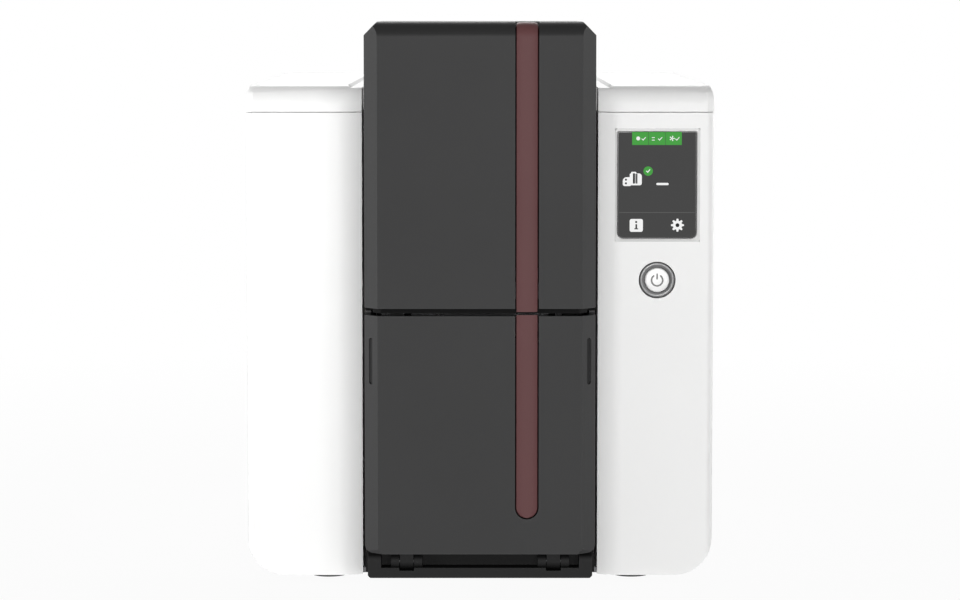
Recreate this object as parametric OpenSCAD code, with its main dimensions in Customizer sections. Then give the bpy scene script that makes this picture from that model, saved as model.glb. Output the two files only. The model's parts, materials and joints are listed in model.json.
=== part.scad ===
// Desktop ID card printer with a protruding card tower. Millimetres, +Z up, front faces -Y.
// The origin is on the table, under the middle of the whole outline.

/* [Body] */
// Width of the white body
body_w = 205; // [195:1:230]
// Depth of the white body, front face to rear edge
body_d = 301; // [290:1:340]
// Height of the seam between the casings and the lid
seam_z = 207.2; // [205:0.1:215]
// Thickness of the lid, from its seam to its top
lid_h = 12; // [11:0.1:16]
// Wall thickness of the white casings and the lid
wall = 2.5; // [2:0.1:3]
// Radius of the body's lower outer corners
corner_r = 17; // [10:1:22]
// Radius of the rounded front edge of the lid
lid_round = 8; // [4:0.5:10]
// Height of the rubber feet
foot_h = 3; // [2:0.5:6]
// Radius of the rubber feet
foot_r = 8; // [6:0.5:10]

/* [Tower] */
// How far the card tower stands out in front of the body
tower_reach = 80; // [76:1:90]
// Width of the card tower
tower_w = 96.4; // [94:0.2:100]
// Height of the tower's top
tower_top = 247; // [240:1:255]
// Width of the sloping side facets, seen from the front
facet_w = 5.6; // [4:0.2:7]
// Depth of the sloping side facets
facet_d = 6.5; // [5:0.5:8]
// Wall thickness of the dark covers and the tower
cover_t = 2.5; // [2:0.1:3]
// Gap on each side between the tower and the white wings
tower_gap = 3.6; // [2.5:0.1:5]
// Depth of the covers' own side walls
cover_side = 19; // [15:1:24]
// Lower edge of the lower cover
cover_low = 25.3; // [25:0.1:30]
// Height of the deck that the cards lie on
deck_z = 129.6; // [127:0.1:134]
// Thickness of the card deck
deck_t = 3.6; // [3:0.1:4.5]

/* [Window] */
// Centre of the red window strip
strip_x = 19.5; // [10:0.2:24]
// Width of the red window strip
strip_w = 9.9; // [6:0.1:12]
// Height of the round lower end of the strip
strip_low = 40; // [36:1:60]

/* [Controls] */
// Distance of the touch screen from the body's side
screen_edge = 6.5; // [5:0.1:9]
// Distance of the touch screen from the tower opening
screen_in = 7.6; // [7:0.1:12]
// Height of the touch screen
screen_h = 49; // [40:0.1:52]
// Height of the centre of the screen
screen_z = 175.5; // [170:0.5:178]
// Height of the centre of the power button
button_z = 133.8; // [125:0.1:138]
// Outer radius of the ring around the button
ring_r = 7.8; // [6:0.1:9]
// Radius of the power button
button_r = 5.4; // [4:0.1:5.6]

/* [Card] */
// Width of a card
card_w = 54; // [54:0.1:56]
// Length of a card
card_l = 85.6; // [85.6:0.1:88]
// Radius of the driven rollers
roller_r = 8; // [7:0.1:8.5]
// Radius of the steel roller shafts
shaft_r = 3; // [2.5:0.1:3.5]
// Distance of the side frames' inner faces from the middle
frame_x = 42; // [41.5:0.5:46]
// Thickness of the steel side frames
frame_t = 2; // [1.5:0.1:2.5]
// Radius of the belt pulleys
pulley_r = 7; // [6:0.1:7.5]
// Thickness of the belts
belt_t = 1.5; // [1.2:0.1:2]

/* [Clearances] */
// Gap between separate shells
seam = 0.3; // [0.2:0.05:0.4]
// Radial clearance of shafts and pins in their holes
run_fit = 0.05; // [0.03:0.01:0.08]

/* [Hidden] */
$fn = 64;
far = 400;
tiny = 0.01;
loop_steps = 16;
round_steps = 5;
arc_steps = 4;

// Main planes of the body and the tower
total_d = body_d + tower_reach;
y_tower = -total_d / 2;
y_front = y_tower + tower_reach;
y_rear = total_d / 2;
half_w = body_w / 2;
lid_top = seam_z + lid_h;
tower_half = tower_w / 2;
opening_half = tower_half + tower_gap;
wing_edge = 11;
wing_flat = opening_half + wing_edge;
wing_arc = 20;
wing_corner = 3;
wing_sweep = wing_arc - sqrt(pow(wing_arc, 2) - pow(wing_edge, 2));
tower_sunk = 24.5;
tower_back = y_front + tower_sunk;
return_end = tower_back + 16;

// Bottom pan
pan_half = half_w - corner_r - 8;
pan_front = y_front + wing_sweep + wall + 1;
pan_top = foot_h + wall;
foot_in = 10;
foot_ends = 14;
vent_count = 7;
vent_half = 40;
vent_step = 12;
vent_w = 4;
vent_y = 20;

// Rear panel
panel_t = 2.5;
panel_in = 2;
panel_y = y_rear - panel_in - panel_t;

// Lid hinge
lid_hinge_r = 10;
lid_hinge_y = y_rear - lid_hinge_r;
lid_hinge_z = lid_top - lid_hinge_r;
lid_barrel_r = sqrt(pow(lid_hinge_r, 2) + pow(lid_hinge_z - seam_z, 2));
lid_cut_r = lid_barrel_r + seam;
lid_pin_r = 2.5;
lid_cheek = 8;
lid_ear_x = half_w - lid_cheek - seam;
lid_ear_w = 6;
lid_ear_r = 6;
lid_ear_web = 9;
lid_ear_drop = 12;
lid_ear_foot = 60;
lid_pin_end = 2;
channel_half = opening_half + 6;
lid_notch = 2 * seam;
stay_half = 40;
stay_wall = 3;
stay_drop = 12;
stay_front = 20;
stay_rear = 50;
channel_deep = 1.2;
lid_skin = lid_top - channel_deep - wall;

// Covers
gap_low = deck_z - 4.5;
gap_high = deck_z - 1.4;
top_round = 6.5;
side_end = y_tower + cover_side;
cover_pin_r = 1.5;
upper_hinge_y = tower_back - 9.5;
upper_barrel = 6.5;
upper_hinge_z = tower_top - upper_barrel;
upper_ear_r = 3.7;
upper_ear_w = 6;
upper_cheek_x = tower_half - facet_w - 2.5;
upper_skin_x = upper_cheek_x - upper_ear_w;
pin_end = 1.5;
window_lap = 3;
window_sunk = 0.2;
lower_hinge_y = y_tower + 10.3;
lower_hinge_z = cover_low - 4.4;
lower_disc_r = 3.3;
low_round = 3.3;
tab_x = 30.8;
tab_w = 5.6;
tab_front = 1;
notch_w = tab_w + 2 * seam;
knuckle_w = 3.5;
cheek_r = 3.8;
cheek_in = tower_half - 6.7;
lip_half = tower_half - 1.1;
pin_len = notch_w + 2 * knuckle_w;
lip_y = y_tower + 6.5;
lip_d = 8;
lip_h = 4.3;
lip_high = cover_low - 6.8;
lip_low = lip_high - lip_h;
chin_y = lip_y + 14;
chin_drop = 2;
grip_low = cover_low + 71;
grip_high = grip_low + 19.6;
grip_r = 1.45;
grip_depth = 0.8;
corner_cut = 2;
corner_tilt = 34;
corner_turn = 47.5;
lip_bevel = 1;
base_top = cover_low - 1.5;
deck_low = deck_z - deck_t;
deck_front = y_tower + cover_t + 1;
tower_in = tower_half - cover_t;

// Card guides and rollers
guide_in = card_w / 2 + 0.6;
guide_t = 2;
guide_front = deck_front + 18;
guide_rib = 2;
tray_top = base_top + cover_t;
tray_stop = tower_back - cover_t - seam - card_l - 1;
tray_stop_t = 1.5;
tray_stop_h = 8;
tray_hole_r = 12;
drop_high = deck_low - 4;
drop_low = deck_low - 22;
feed_y = y_tower + 65.5;
feed_r = 9;
feed_half = 15;
feed_arm = 7;
feed_arm_w = 3;
slot_half = 3;
gate_half = 12;
gate_h = 20;
gate_t = 1.4;
gate_lift = 4;
weight_h = 7.3;
weight_rim = 6;
feed_lift = 0.5;
feed_z = deck_z + feed_lift - feed_r;
card_t = 0.8;
roller_z = deck_z - roller_r;
front_y = tower_back + 26;
platen_y = front_y + 67;
rear_y = platen_y + 65;
top_nip = deck_z + card_t + 0.1;
sleeve_half = 28;
bed_front = return_end - 13;
bed_rear = rear_y + 14;
bed_top = deck_z - 0.4;
bed_gap = 0.4;
bed_low = roller_z + shaft_r + bed_gap;
bush_r = 5;
bush_end = 0.8;
frame_out = frame_x + frame_t;
frame_front = tower_back + 2;
frame_rear = rear_y + 50;
frame_top = seam_z - 12;
frame_cut = 25;
frame_slope = 40;
pulley_x = frame_out + 4;
pulley_w = 6;
flange_w = 1;
flange_h = 0.5;
belt_w = 5;
belt_gap = 0.3;
motor_shaft_r = 1.5;
press_gap = 0.03;
motor_y = platen_y + 5;
motor_z = 62;
motor_half = 21;
motor_l = 34;
boss_r = 11;
feed_motor_y = front_y - 8;
feed_motor_z = 84;
feed_motor_r = 14;
feed_motor_l = 30;
feed_bracket_l = 25;
feed_bracket_t = 2;
feed_pulley_x = frame_x - 6;
tie_r = 4;
tie_gap = 0.05;
tie_z = bed_low - tie_r - tie_gap;

// Print head and ribbon
head_low = deck_z + 1.7;
head_d = 16;
head_half = 32;
head_h = 24;
head_pin_z = head_low + 13;
head_pin_r = 2;
head_lift = 3;
head_fin = 17;
head_fin_step = 3;
head_fin_gap = 1.6;
arm_x = 34;
arm_t = 2;
frame_drop = lid_skin - stay_drop;
spool_drop = 37.2;
spool_z = seam_z - spool_drop;
spool_flange_r = 5;
spool_flange_w = 3;
spool_shaft = 3;
takeup_y = platen_y - 47;
takeup_r = 12;
supply_y = platen_y + 43;
supply_r = 15;
ribbon_half = 29;
plate_x = 38;
plate_t = 2;
cassette_up = 18;
cassette_down = 20;
cassette_end = 20;
cassette_leg = 4;
bar_w = 3;
bar_h = 6;
film_t = 0.3;
film_gap = 0.35;
film_lead = 34;
ribbon_motor_l = 34;
ribbon_motor_r = 13;
ribbon_plate = 18;

// Rear fittings
inlet_w = 27;
inlet_h = 19.6;
inlet_x = -62;
inlet_z = 40;
inlet_d = 24;
inlet_rim = 2;
inlet_rim_t = 1.5;
inlet_hole_w = 23;
inlet_hole_h = 15;
inlet_hole_d = 14;
blade_w = 2;
blade_h = 4;
port_x = 62;
port_z = 42;
port_half_w = 15;
port_half_h = 9;
port_d = 16;
port_hole_d = 10;
port_wall = 2;
fan_size = 40;
fan_x = 0;
fan_z = 60;
fan_depth = 12;
fan_hole_r = 18.5;
fan_pin_r = 1.4;
fan_hub_r = 8;
fan_blades = 6;
fan_slots = 3;
fan_slot_half = 16;
fan_slot_step = 5;
fan_slot_h = 2.8;
board_x = half_w - 14.5;
board_t = 1.6;
board_low = 22;
board_high = 145;
board_front = 40;
board_rear = 6;
post_w = 8;
post_z = 34;
supply_l = 107;
supply_h = 52.5;
supply_in = 28;
supply_side = 10;
slit_count = 10;
slit_step = 9;
slit_w = 4;

// Screen and button
screen_w = half_w - opening_half - screen_edge - screen_in;
screen_back_d = 8;
screen_lap = 2;
panel_x = half_w - screen_edge - screen_w / 2;
ring_lap = 2;
ring_d = 5;
button_lap = 1;
screw_r = 3;
screw_head = 1.5;
panel_screw_in = 10.5;
frame_screw_drop = 26;

// ---- Outlines ----

// Half outline of one wing seen from above, set in by t
module wing_plan(t) {
    difference() {
        union() {
            translate([opening_half + t, y_front + wing_arc + t])
                square([half_w - opening_half - 2 * t, far]);
            translate([wing_flat, y_front + t])
                square([half_w - wing_flat - wing_corner, wing_arc + 5]);
            translate([half_w - wing_corner, y_front + wing_corner])
                circle(wing_corner - min(t, wing_corner - 0.4));
            translate([half_w - wing_corner - 1, y_front + wing_corner])
                square([wing_corner + 1 - t, far]);
            intersection() {
                translate([wing_flat, y_front + wing_arc]) circle(wing_arc - t);
                translate([opening_half + t, y_front])
                    square([wing_edge, wing_arc + 5]);
            }
        }
        translate([0, y_rear + 20]) square([far, far]);
    }
}

// Front outline of one half of the body below the seam, set in by t
module half_front(t, high) {
    union() {
        translate([0, foot_h + t]) square([half_w - corner_r, high - foot_h - t]);
        translate([0, foot_h + corner_r]) square([half_w - t, high - foot_h - corner_r]);
        translate([half_w - corner_r, foot_h + corner_r]) circle(corner_r - t);
    }
}

// A plan outline pulled up, and a front outline pushed back
module rise(low, high) { translate([0, 0, low]) linear_extrude(high - low) children(); }
module push(from, to) { translate([0, to, 0]) rotate([90, 0, 0]) linear_extrude(to - from) children(); }
// A side outline (y, z) spread along x
module spread(from, to) {
    translate([from, 0, 0]) rotate([90, 0, 90]) linear_extrude(to - from) children();
}
// A rod along x, and one along y
module rod(x0, x1, y, z, r) { translate([x0, y, z]) rotate([0, 90, 0]) cylinder(h = x1 - x0, r = r); }
module stud(y0, y1, x, z, r) { translate([x, y0, z]) rotate([-90, 0, 0]) cylinder(h = y1 - y0, r = r); }
module block(x0, x1, y0, y1, z0, z1) {
    translate([x0, y0, z0]) cube([x1 - x0, y1 - y0, z1 - z0]);
}
module both() {
    children();
    mirror([1, 0, 0]) children();
}

// Outline at distance r around a convex chain of points listed anticlockwise, with round corners
function heading(a, b) = atan2(b[1] - a[1], b[0] - a[0]) - 90;
function loop(points, r) = [
    for (i = [0 : len(points) - 1])
        let (n = len(points), here = points[i])
        let (from = heading(points[(i + n - 1) % n], here), to = heading(here, points[(i + 1) % n]))
        let (turn = (to - from + 720) % 360)
        for (k = [0 : loop_steps]) let (a = from + turn * k / loop_steps)
            here + r * [cos(a), sin(a)]
];
module belt(points, r, x0, x1) {
    spread(x0, x1) difference() {
        polygon(loop(points, r + belt_t));
        polygon(loop(points, r));
    }
}

// ---- White casings ----

module casing_half() {
    difference() {
        intersection() {
            rise(foot_h, seam_z) wing_plan(0);
            push(y_front - 1, y_rear) half_front(0, seam_z);
        }
        intersection() {
            rise(0, far) union() {
                wing_plan(wall);
                translate([opening_half - 1, return_end]) square([half_w - opening_half - corner_r, far]);
            }
            push(y_front, y_rear + 1) half_front(wall, far);
        }
        block(0, pan_half + seam, pan_front - seam, far, 0, pan_top + tiny);
        rod(0, far, lid_hinge_y, lid_hinge_z, lid_cut_r);
    }
}
module left_casing() { color("white") mirror([1, 0, 0]) casing_half(); }
module right_casing() {
    color("white") difference() {
        casing_half();
        block(panel_x - screen_w / 2 - seam, panel_x + screen_w / 2 + seam, y_front - 1,
            y_front + wall + 2, screen_z - screen_h / 2 - seam, screen_z + screen_h / 2 + seam);
        stud(y_front - 1, y_front + wall + 2, panel_x, button_z, ring_r + seam);
    }
}

module base_pan() {
    color("dimgray") difference() {
        block(-pan_half, pan_half, pan_front, panel_y - seam, foot_h, pan_top);
        for (i = [0 : vent_count]) block(-vent_half, vent_half, vent_y + vent_step * i,
            vent_y + vent_step * i + vent_w, foot_h - 1, pan_top + 1);
    }
}

module rubber_feet() {
    color("black") both() for (y = [pan_front + foot_ends, panel_y - foot_ends - 2])
        translate([pan_half - foot_in, y, 0]) cylinder(h = foot_h, r = foot_r);
}

// Bracket that holds a lid pin: a web from the rear panel up to the pin's axis
module lid_ear() {
    difference() {
        spread(lid_ear_x - lid_ear_w, lid_ear_x) union() {
            translate([lid_hinge_y, lid_hinge_z]) circle(lid_ear_r);
            polygon([[lid_hinge_y - lid_ear_r, lid_hinge_z],
                [lid_hinge_y - lid_ear_web, lid_hinge_z - lid_ear_drop],
                [lid_hinge_y - lid_ear_web, lid_hinge_z - lid_ear_foot],
                [panel_y, lid_hinge_z - lid_ear_foot], [panel_y, lid_hinge_z - lid_ear_drop - 8],
                [lid_hinge_y - 1, lid_hinge_z - lid_ear_drop], [lid_hinge_y, lid_hinge_z]]);
        }
        rod(0, far, lid_hinge_y, lid_hinge_z, lid_pin_r + run_fit);
    }
}

module rear_panel() {
    color("whitesmoke") union() {
        difference() {
            push(panel_y, panel_y + panel_t) union() {
                half_front(wall + seam, seam_z);
                mirror([1, 0]) half_front(wall + seam, seam_z);
            }
            rod(-far, far, lid_hinge_y, lid_hinge_z, lid_cut_r);
            block(inlet_x - inlet_w / 2 - seam, inlet_x + inlet_w / 2 + seam, panel_y - 1, far,
                inlet_z - inlet_h / 2 - seam, inlet_z + inlet_h / 2 + seam);
            block(port_x - port_half_w, port_x + port_half_w, panel_y - 1, far,
                port_z - port_half_h, port_z + port_half_h);
            for (i = [-fan_slots : fan_slots])
                block(fan_x - fan_slot_half, fan_x + fan_slot_half, panel_y - 1, far,
                    fan_z + fan_slot_step * i - fan_slot_h / 2, fan_z + fan_slot_step * i + fan_slot_h / 2);
            block(-pan_half - seam, pan_half + seam, 0, far, 0, pan_top);
        }
        both() lid_ear();
    }
}

// ---- Lid ----

// One half of the lid's outer shape: stacked outlines blended into a rounded front edge
module lid_half_solid() {
    hull() {
        rise(seam_z + seam, seam_z + seam + tiny) lid_plan(0);
        for (i = [0 : round_steps]) {
            a = 90 * i / round_steps;
            rise(lid_top - lid_round + lid_round * sin(a) - tiny, lid_top - lid_round + lid_round * sin(a))
                lid_plan(lid_round * (1 - cos(a)));
        }
    }
}
module lid_plan(inset) {
    side = inset / 3;
    sweep = asin(wing_edge / wing_arc);
    polygon(concat(
        [for (i = [0 : arc_steps]) let (a = sweep * (1 - i / arc_steps))
            [wing_flat - wing_arc * sin(a), y_front + inset + wing_arc * (1 - cos(a))]],
        [[half_w - wing_corner - side, y_front + inset],
            [half_w - side, y_front + inset + wing_corner],
            [half_w - side, lid_hinge_y], [opening_half, lid_hinge_y]]));
}

module lid() {
    front_cut = tower_back + lid_notch;
    color("white") difference() {
        union() {
            both() lid_half_solid();
            block(-opening_half - tiny, opening_half + tiny, front_cut, lid_hinge_y,
                seam_z + seam, lid_top);
            rod(-half_w, half_w, lid_hinge_y, lid_hinge_z, lid_hinge_r);
        }
        // hollow underside
        block(opening_half + wall, half_w - wall, y_front + wing_sweep + wall, lid_hinge_y - lid_hinge_r,
            0, lid_skin);
        block(-half_w + wall, -opening_half - wall, y_front + wing_sweep + wall,
            lid_hinge_y - lid_hinge_r, 0, lid_skin);
        block(-opening_half - wall - 1, opening_half + wall + 1, front_cut + wall,
            lid_hinge_y - lid_hinge_r, 0, lid_skin);
        // shallow channel along the top
        push(front_cut - 40, far) polygon([[-channel_half, lid_top + 1],
            [-channel_half, lid_top], [-channel_half + channel_deep, lid_top - channel_deep],
            [channel_half - channel_deep, lid_top - channel_deep], [channel_half, lid_top],
            [channel_half, lid_top + 1]]);
        // notch around the tower
        block(-opening_half, opening_half, -far, front_cut, 0, far);
        // space for the brackets between the hinge cheeks
        rod(-half_w + lid_cheek, half_w - lid_cheek, lid_hinge_y, lid_hinge_z, lid_hinge_r - wall);
        block(-half_w + lid_cheek, half_w - lid_cheek, lid_hinge_y - lid_hinge_r, far, 0,
            lid_hinge_z - 1);
        rod(-half_w + pin_end, half_w - pin_end, lid_hinge_y, lid_hinge_z, lid_pin_r + run_fit);
    }
}

module lid_frame() {
    color("dimgray") difference() {
        block(-stay_half, stay_half, tower_back + stay_front, supply_y + stay_rear, frame_drop,
            lid_skin);
        block(-stay_half + stay_wall, stay_half - stay_wall, tower_back + stay_front + stay_wall,
            supply_y + stay_rear - stay_wall, 0, lid_skin - stay_wall);
        for (i = [0 : 5]) block(-stay_half + 10, stay_half - 10, platen_y - 24 + slit_step * i,
            platen_y - 24 + slit_step * i + slit_w, 0, far);
    }
    color("dimgray") block(-stay_half, stay_half, platen_y - 4, platen_y + 4, frame_drop,
        lid_skin - stay_wall);
}

// ---- Pins ----

module hinge_pins() {
    color("silver") {
        both() rod(lid_ear_x - lid_ear_w - 1, half_w - lid_pin_end, lid_hinge_y, lid_hinge_z,
            lid_pin_r);
        both() rod(upper_skin_x + 1, tower_half - pin_end, upper_hinge_y, upper_hinge_z, cover_pin_r);
        both() rod(tab_x - pin_len / 2, tab_x + pin_len / 2, lower_hinge_y, lower_hinge_z,
            cover_pin_r);
    }
}

// ---- Tower, lower part ----

module hopper_base() {
    wall_y = lip_y + lip_d;
    color("#242424") difference() {
        union() {
            spread(-lip_half, lip_half) polygon([[lip_y, lip_low], [lip_y, lip_high],
                [wall_y, lip_high], [wall_y, base_top], [tower_back, base_top],
                [tower_back, pan_top], [y_front - 3, pan_top], [chin_y, lip_low - chin_drop]]);
            block(-tower_half, tower_half, wall_y, tower_back, lip_high - 3, base_top);
            // round cheeks at the ends of the recess, which the cover rolls around
            both() spread(cheek_in, lip_half) union() {
                translate([lower_hinge_y, lower_hinge_z]) circle(cheek_r);
                translate([lower_hinge_y - cheek_r, lip_high])
                    square([cheek_r, lower_hinge_z - lip_high]);
                translate([lower_hinge_y, lip_high])
                    square([wall_y - lower_hinge_y, base_top - lip_high]);
            }
            // knuckles that hold the cover's pins
            both() for (x = [tab_x - pin_len / 2, tab_x + notch_w / 2]) {
                rod(x, x + knuckle_w, lower_hinge_y, lower_hinge_z, lower_disc_r);
                block(x, x + knuckle_w, lower_hinge_y, wall_y, lip_high, lower_hinge_z);
            }
        }
        block(-tower_in, tower_in, chin_y + 2, tower_back - cover_t, lip_low + 0.5, base_top + 1);
        both() block(tab_x - notch_w / 2, tab_x + notch_w / 2, lip_y - 1,
            lower_hinge_y + lower_disc_r + seam, lower_hinge_z - lower_disc_r - seam, far);
        both() rod(tab_x - pin_len / 2 - 0.5, tab_x + pin_len / 2 + 0.5, lower_hinge_y, lower_hinge_z,
            cover_pin_r + run_fit);
        // bevels at the lip's lower corners
        both() push(-far, chin_y) polygon([[lip_half - lip_bevel, 0], [lip_half - lip_bevel, lip_low],
            [lip_half, lip_low + lip_bevel], [lip_half + 1, lip_low + lip_bevel], [lip_half + 1, 0]]);
    }
}

module hopper_casing() {
    color("#303030") difference() {
        union() {
            both() block(tower_in, tower_half, side_end + seam, tower_back, base_top, deck_low);
            block(-tower_half, tower_half, tower_back - cover_t, tower_back, base_top, deck_low);
        }
        block(-guide_in - 2, guide_in + 2, tower_back - 5, far, drop_low, drop_high);
        block(-feed_pulley_x - belt_w, -feed_pulley_x + belt_w, tower_back - 5, far,
            feed_motor_z - feed_motor_r, deck_low - 1);
    }
}

module output_tray() {
    color("#2c2c2c") difference() {
        union() {
            block(-tower_in + seam, tower_in - seam, tray_stop - tray_stop_t,
                tower_back - cover_t - seam, base_top, tray_top);
            both() block(guide_in, guide_in + guide_t, guide_front, tower_back - cover_t - seam,
                tray_top, drop_low - 8);
            block(-guide_in, guide_in, tray_stop - tray_stop_t, tray_stop, tray_top,
                tray_top + tray_stop_h);
        }
        translate([0, guide_front + 20, 0]) cylinder(h = far, r = tray_hole_r, center = true);
    }
}

// Plan, front and side outlines of the two front covers, set in by t
module cover_plan(t) {
    k = t * (sqrt(pow(facet_w, 2) + pow(facet_d, 2)) - facet_w) / facet_d;
    j = t * (sqrt(pow(facet_w, 2) + pow(facet_d, 2)) - facet_d) / facet_w;
    polygon([[-tower_half + t, y_tower + facet_d + k], [-tower_half + facet_w + j, y_tower + t],
        [tower_half - facet_w - j, y_tower + t], [tower_half - t, y_tower + facet_d + k],
        [tower_half - t, far], [-tower_half + t, far]]);
}
module upper_front(t) {
    j = t * (sqrt(2) - 1);
    polygon([[-tower_half + t, 0], [-tower_half + t, tower_top - facet_w - j],
        [-tower_half + facet_w + j, tower_top - t], [tower_half - facet_w - j, tower_top - t],
        [tower_half - t, tower_top - facet_w - j], [tower_half - t, 0]]);
}
module upper_side(t) {
    difference() {
        translate([y_tower + t, 0]) square([tower_reach + far, tower_top - t]);
        translate([y_tower, tower_top - top_round]) difference() {
            square(top_round);
            translate([top_round, 0]) circle(top_round - t);
        }
    }
}
module upper_solid(t) {
    intersection() {
        rise(0, far) cover_plan(t);
        push(y_tower - 1, tower_back) upper_front(t);
        spread(-tower_half, tower_half) upper_side(t);
    }
}
// The window strip pushed back, set in by t all round
module strip(from, to, t) {
    push(from, to) union() {
        translate([strip_x - strip_w / 2 + t, strip_low + strip_w / 2]) square([strip_w - 2 * t, far]);
        translate([strip_x, strip_low + strip_w / 2]) circle(strip_w / 2 - t);
    }
}

module upper_cover() {
    strip_back = y_tower + top_round + window_lap;
    color("#3a3a3a") difference() {
        union() {
            intersection() {
                difference() {
                    upper_solid(0);
                    upper_solid(cover_t);
                }
                union() {
                    block(-far, far, -far, side_end, gap_high, far);
                    block(-far, far, -far, upper_hinge_y, upper_hinge_z - upper_barrel, far);
                }
            }
            intersection() {
                upper_solid(0);
                both() rod(upper_cheek_x, tower_half, upper_hinge_y, upper_hinge_z, upper_barrel);
            }
            intersection() {
                difference() {
                    rod(-upper_skin_x, upper_skin_x, upper_hinge_y, upper_hinge_z, upper_barrel);
                    rod(-far, far, upper_hinge_y, upper_hinge_z, upper_barrel - cover_t);
                }
                block(-far, far, upper_hinge_y, far, upper_hinge_z - 1, far);
            }
        }
        strip(y_tower - 1, strip_back, 0);
        both() rod(upper_skin_x, tower_half - pin_end + seam, upper_hinge_y, upper_hinge_z,
            cover_pin_r + run_fit);
        block(-far, far, tower_back - cover_t - seam, far, 0, far);
    }
}

module upper_window() {
    strip_back = y_tower + top_round + window_lap - seam;
    color([0.5, 0.1, 0.1, 0.6]) intersection() {
        difference() {
            upper_solid(window_sunk);
            upper_solid(cover_t);
        }
        strip(y_tower - 1, strip_back, seam);
        block(-far, far, -far, far, gap_high + window_sunk, far);
    }
}

module lower_front() {
    x = tower_half - low_round;
    union() {
        translate([-tower_half, cover_low + low_round])
            square([tower_w, gap_low - cover_low - low_round]);
        translate([-x, cover_low]) square([2 * x, low_round + 1]);
        both() translate([x, cover_low + low_round]) circle(low_round);
    }
}
module lower_solid(t) {
    intersection() {
        rise(0, far) cover_plan(t);
        push(y_tower - 1, side_end) lower_front();
    }
}

module lower_cover() {
    color("#3a3a3a") difference() {
        union() {
            difference() {
                lower_solid(0);
                lower_solid(cover_t);
            }
            // floor of the cover, and the two hinge tabs under it
            intersection() {
                lower_solid(cover_t / 2);
                block(-far, far, y_tower + tab_front, lower_hinge_y + 1.5, cover_low,
                    cover_low + cover_t);
            }
            both() spread(tab_x - tab_w / 2, tab_x + tab_w / 2) union() {
                translate([lower_hinge_y, lower_hinge_z]) circle(lower_disc_r);
                polygon([[lower_hinge_y - lower_disc_r, lower_hinge_z],
                    [lower_hinge_y + lower_disc_r, lower_hinge_z],
                    [lower_hinge_y + 1, cover_low + 1], [lower_hinge_y - lower_disc_r, cover_low + 1]]);
            }
        }
        strip(y_tower - 1, y_tower + cover_t + 1, 0);
        both() rod(0, far, lower_hinge_y, lower_hinge_z, cover_pin_r + run_fit);
        // bevels at the front face's lower corners
        both() translate([tower_half - facet_w, y_tower, cover_low + corner_cut])
            rotate([0, corner_tilt, -corner_turn]) block(0, far, -far, far, -far, far);
        // finger grips in the middle of the side facets
        both() translate([tower_half - facet_w / 2, y_tower + facet_d / 2, 0])
            rotate(atan2(facet_d, facet_w)) push(-grip_depth, grip_depth) union() {
                translate([-grip_r, grip_low + grip_r])
                    square([2 * grip_r, grip_high - grip_low - 2 * grip_r]);
                translate([0, grip_low + grip_r]) circle(grip_r);
                translate([0, grip_high - grip_r]) circle(grip_r);
            }
    }
}

module lower_window() {
    color([0.5, 0.1, 0.1, 0.6]) intersection() {
        block(-far, far, y_tower + window_sunk, y_tower + cover_t, 0, gap_low - window_sunk);
        strip(y_tower - 1, side_end, seam);
    }
}

// ---- Tower, upper part ----

module feeder_floor() {
    hang = feed_z - shaft_r - 4;
    color("#2a2a2a") difference() {
        union() {
            block(-tower_half, tower_half, side_end + seam, tower_back, deck_low, deck_z);
            rise(deck_low, deck_z) intersection() {
                cover_plan(cover_t + 1);
                translate([-tower_half, y_tower]) square([tower_w, cover_side + 1]);
            }
            both() block(guide_in + guide_t, guide_in + guide_t + feed_arm_w, feed_y - feed_arm,
                feed_y + feed_arm, hang, deck_low);
            block(-tower_in + 1, -tower_in + 3, feed_y - feed_arm, feed_y + feed_arm, hang, deck_low);
        }
        block(-feed_half - 1, feed_half + 1, feed_y - feed_r - 1, feed_y + feed_r + 1, 0, far);
        block(-feed_pulley_x - 4.5, -feed_pulley_x + 3.2, feed_y - 11, far, 0, far);
        rod(-far, far, feed_y, feed_z, shaft_r + run_fit);
    }
}

module feeder_casing() {
    web_end = tower_back - cover_t;
    wall_top = upper_hinge_z - upper_barrel - seam;
    color("#303030") difference() {
        union() {
            both() {
                block(tower_in, tower_half, side_end + seam, tower_back, deck_z, wall_top);
                block(guide_in, guide_in + guide_t, guide_front, tower_back, deck_z, wall_top - 9);
                for (z = [deck_z + 20, wall_top - 30])
                    block(guide_in, tower_half, guide_front + 2, tower_back, z, z + guide_rib);
                spread(upper_skin_x + seam, upper_cheek_x - seam) union() {
                    translate([upper_hinge_y, upper_hinge_z]) circle(upper_ear_r);
                    polygon([[upper_hinge_y - upper_ear_r, upper_hinge_z - 1],
                        [web_end + 1, wall_top - 14], [web_end + 1, upper_hinge_z - 2.5],
                        [upper_hinge_y + 3, upper_hinge_z + 0.5]]);
                }
            }
            block(-tower_half, tower_half, web_end, tower_back, deck_z, wall_top);
            block(-tower_half + facet_w, tower_half - facet_w, web_end, tower_back, deck_z,
                tower_top - 1);
        }
        block(-guide_in, guide_in, -far, far, 0, deck_z + 3);
        both() rod(0, far, upper_hinge_y, upper_hinge_z, cover_pin_r + run_fit);
        block(-slot_half - seam, slot_half + seam, web_end - 1, far, deck_z + gate_lift - 1,
            deck_z + gate_lift + gate_h + 4);
    }
}

// Gate that sets the card thickness: a plate behind the rear wall with a knob inside the tower
module thickness_slider() {
    z0 = deck_z + gate_lift;
    color("steelblue") union() {
        block(-gate_half, gate_half, tower_back + seam, tower_back + seam + gate_t, z0 - 2.2,
            z0 + gate_h);
        block(-slot_half, slot_half, tower_back - cover_t - 0.1, tower_back + 1, z0 + 4,
            z0 + gate_h - 4);
    }
}

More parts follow.
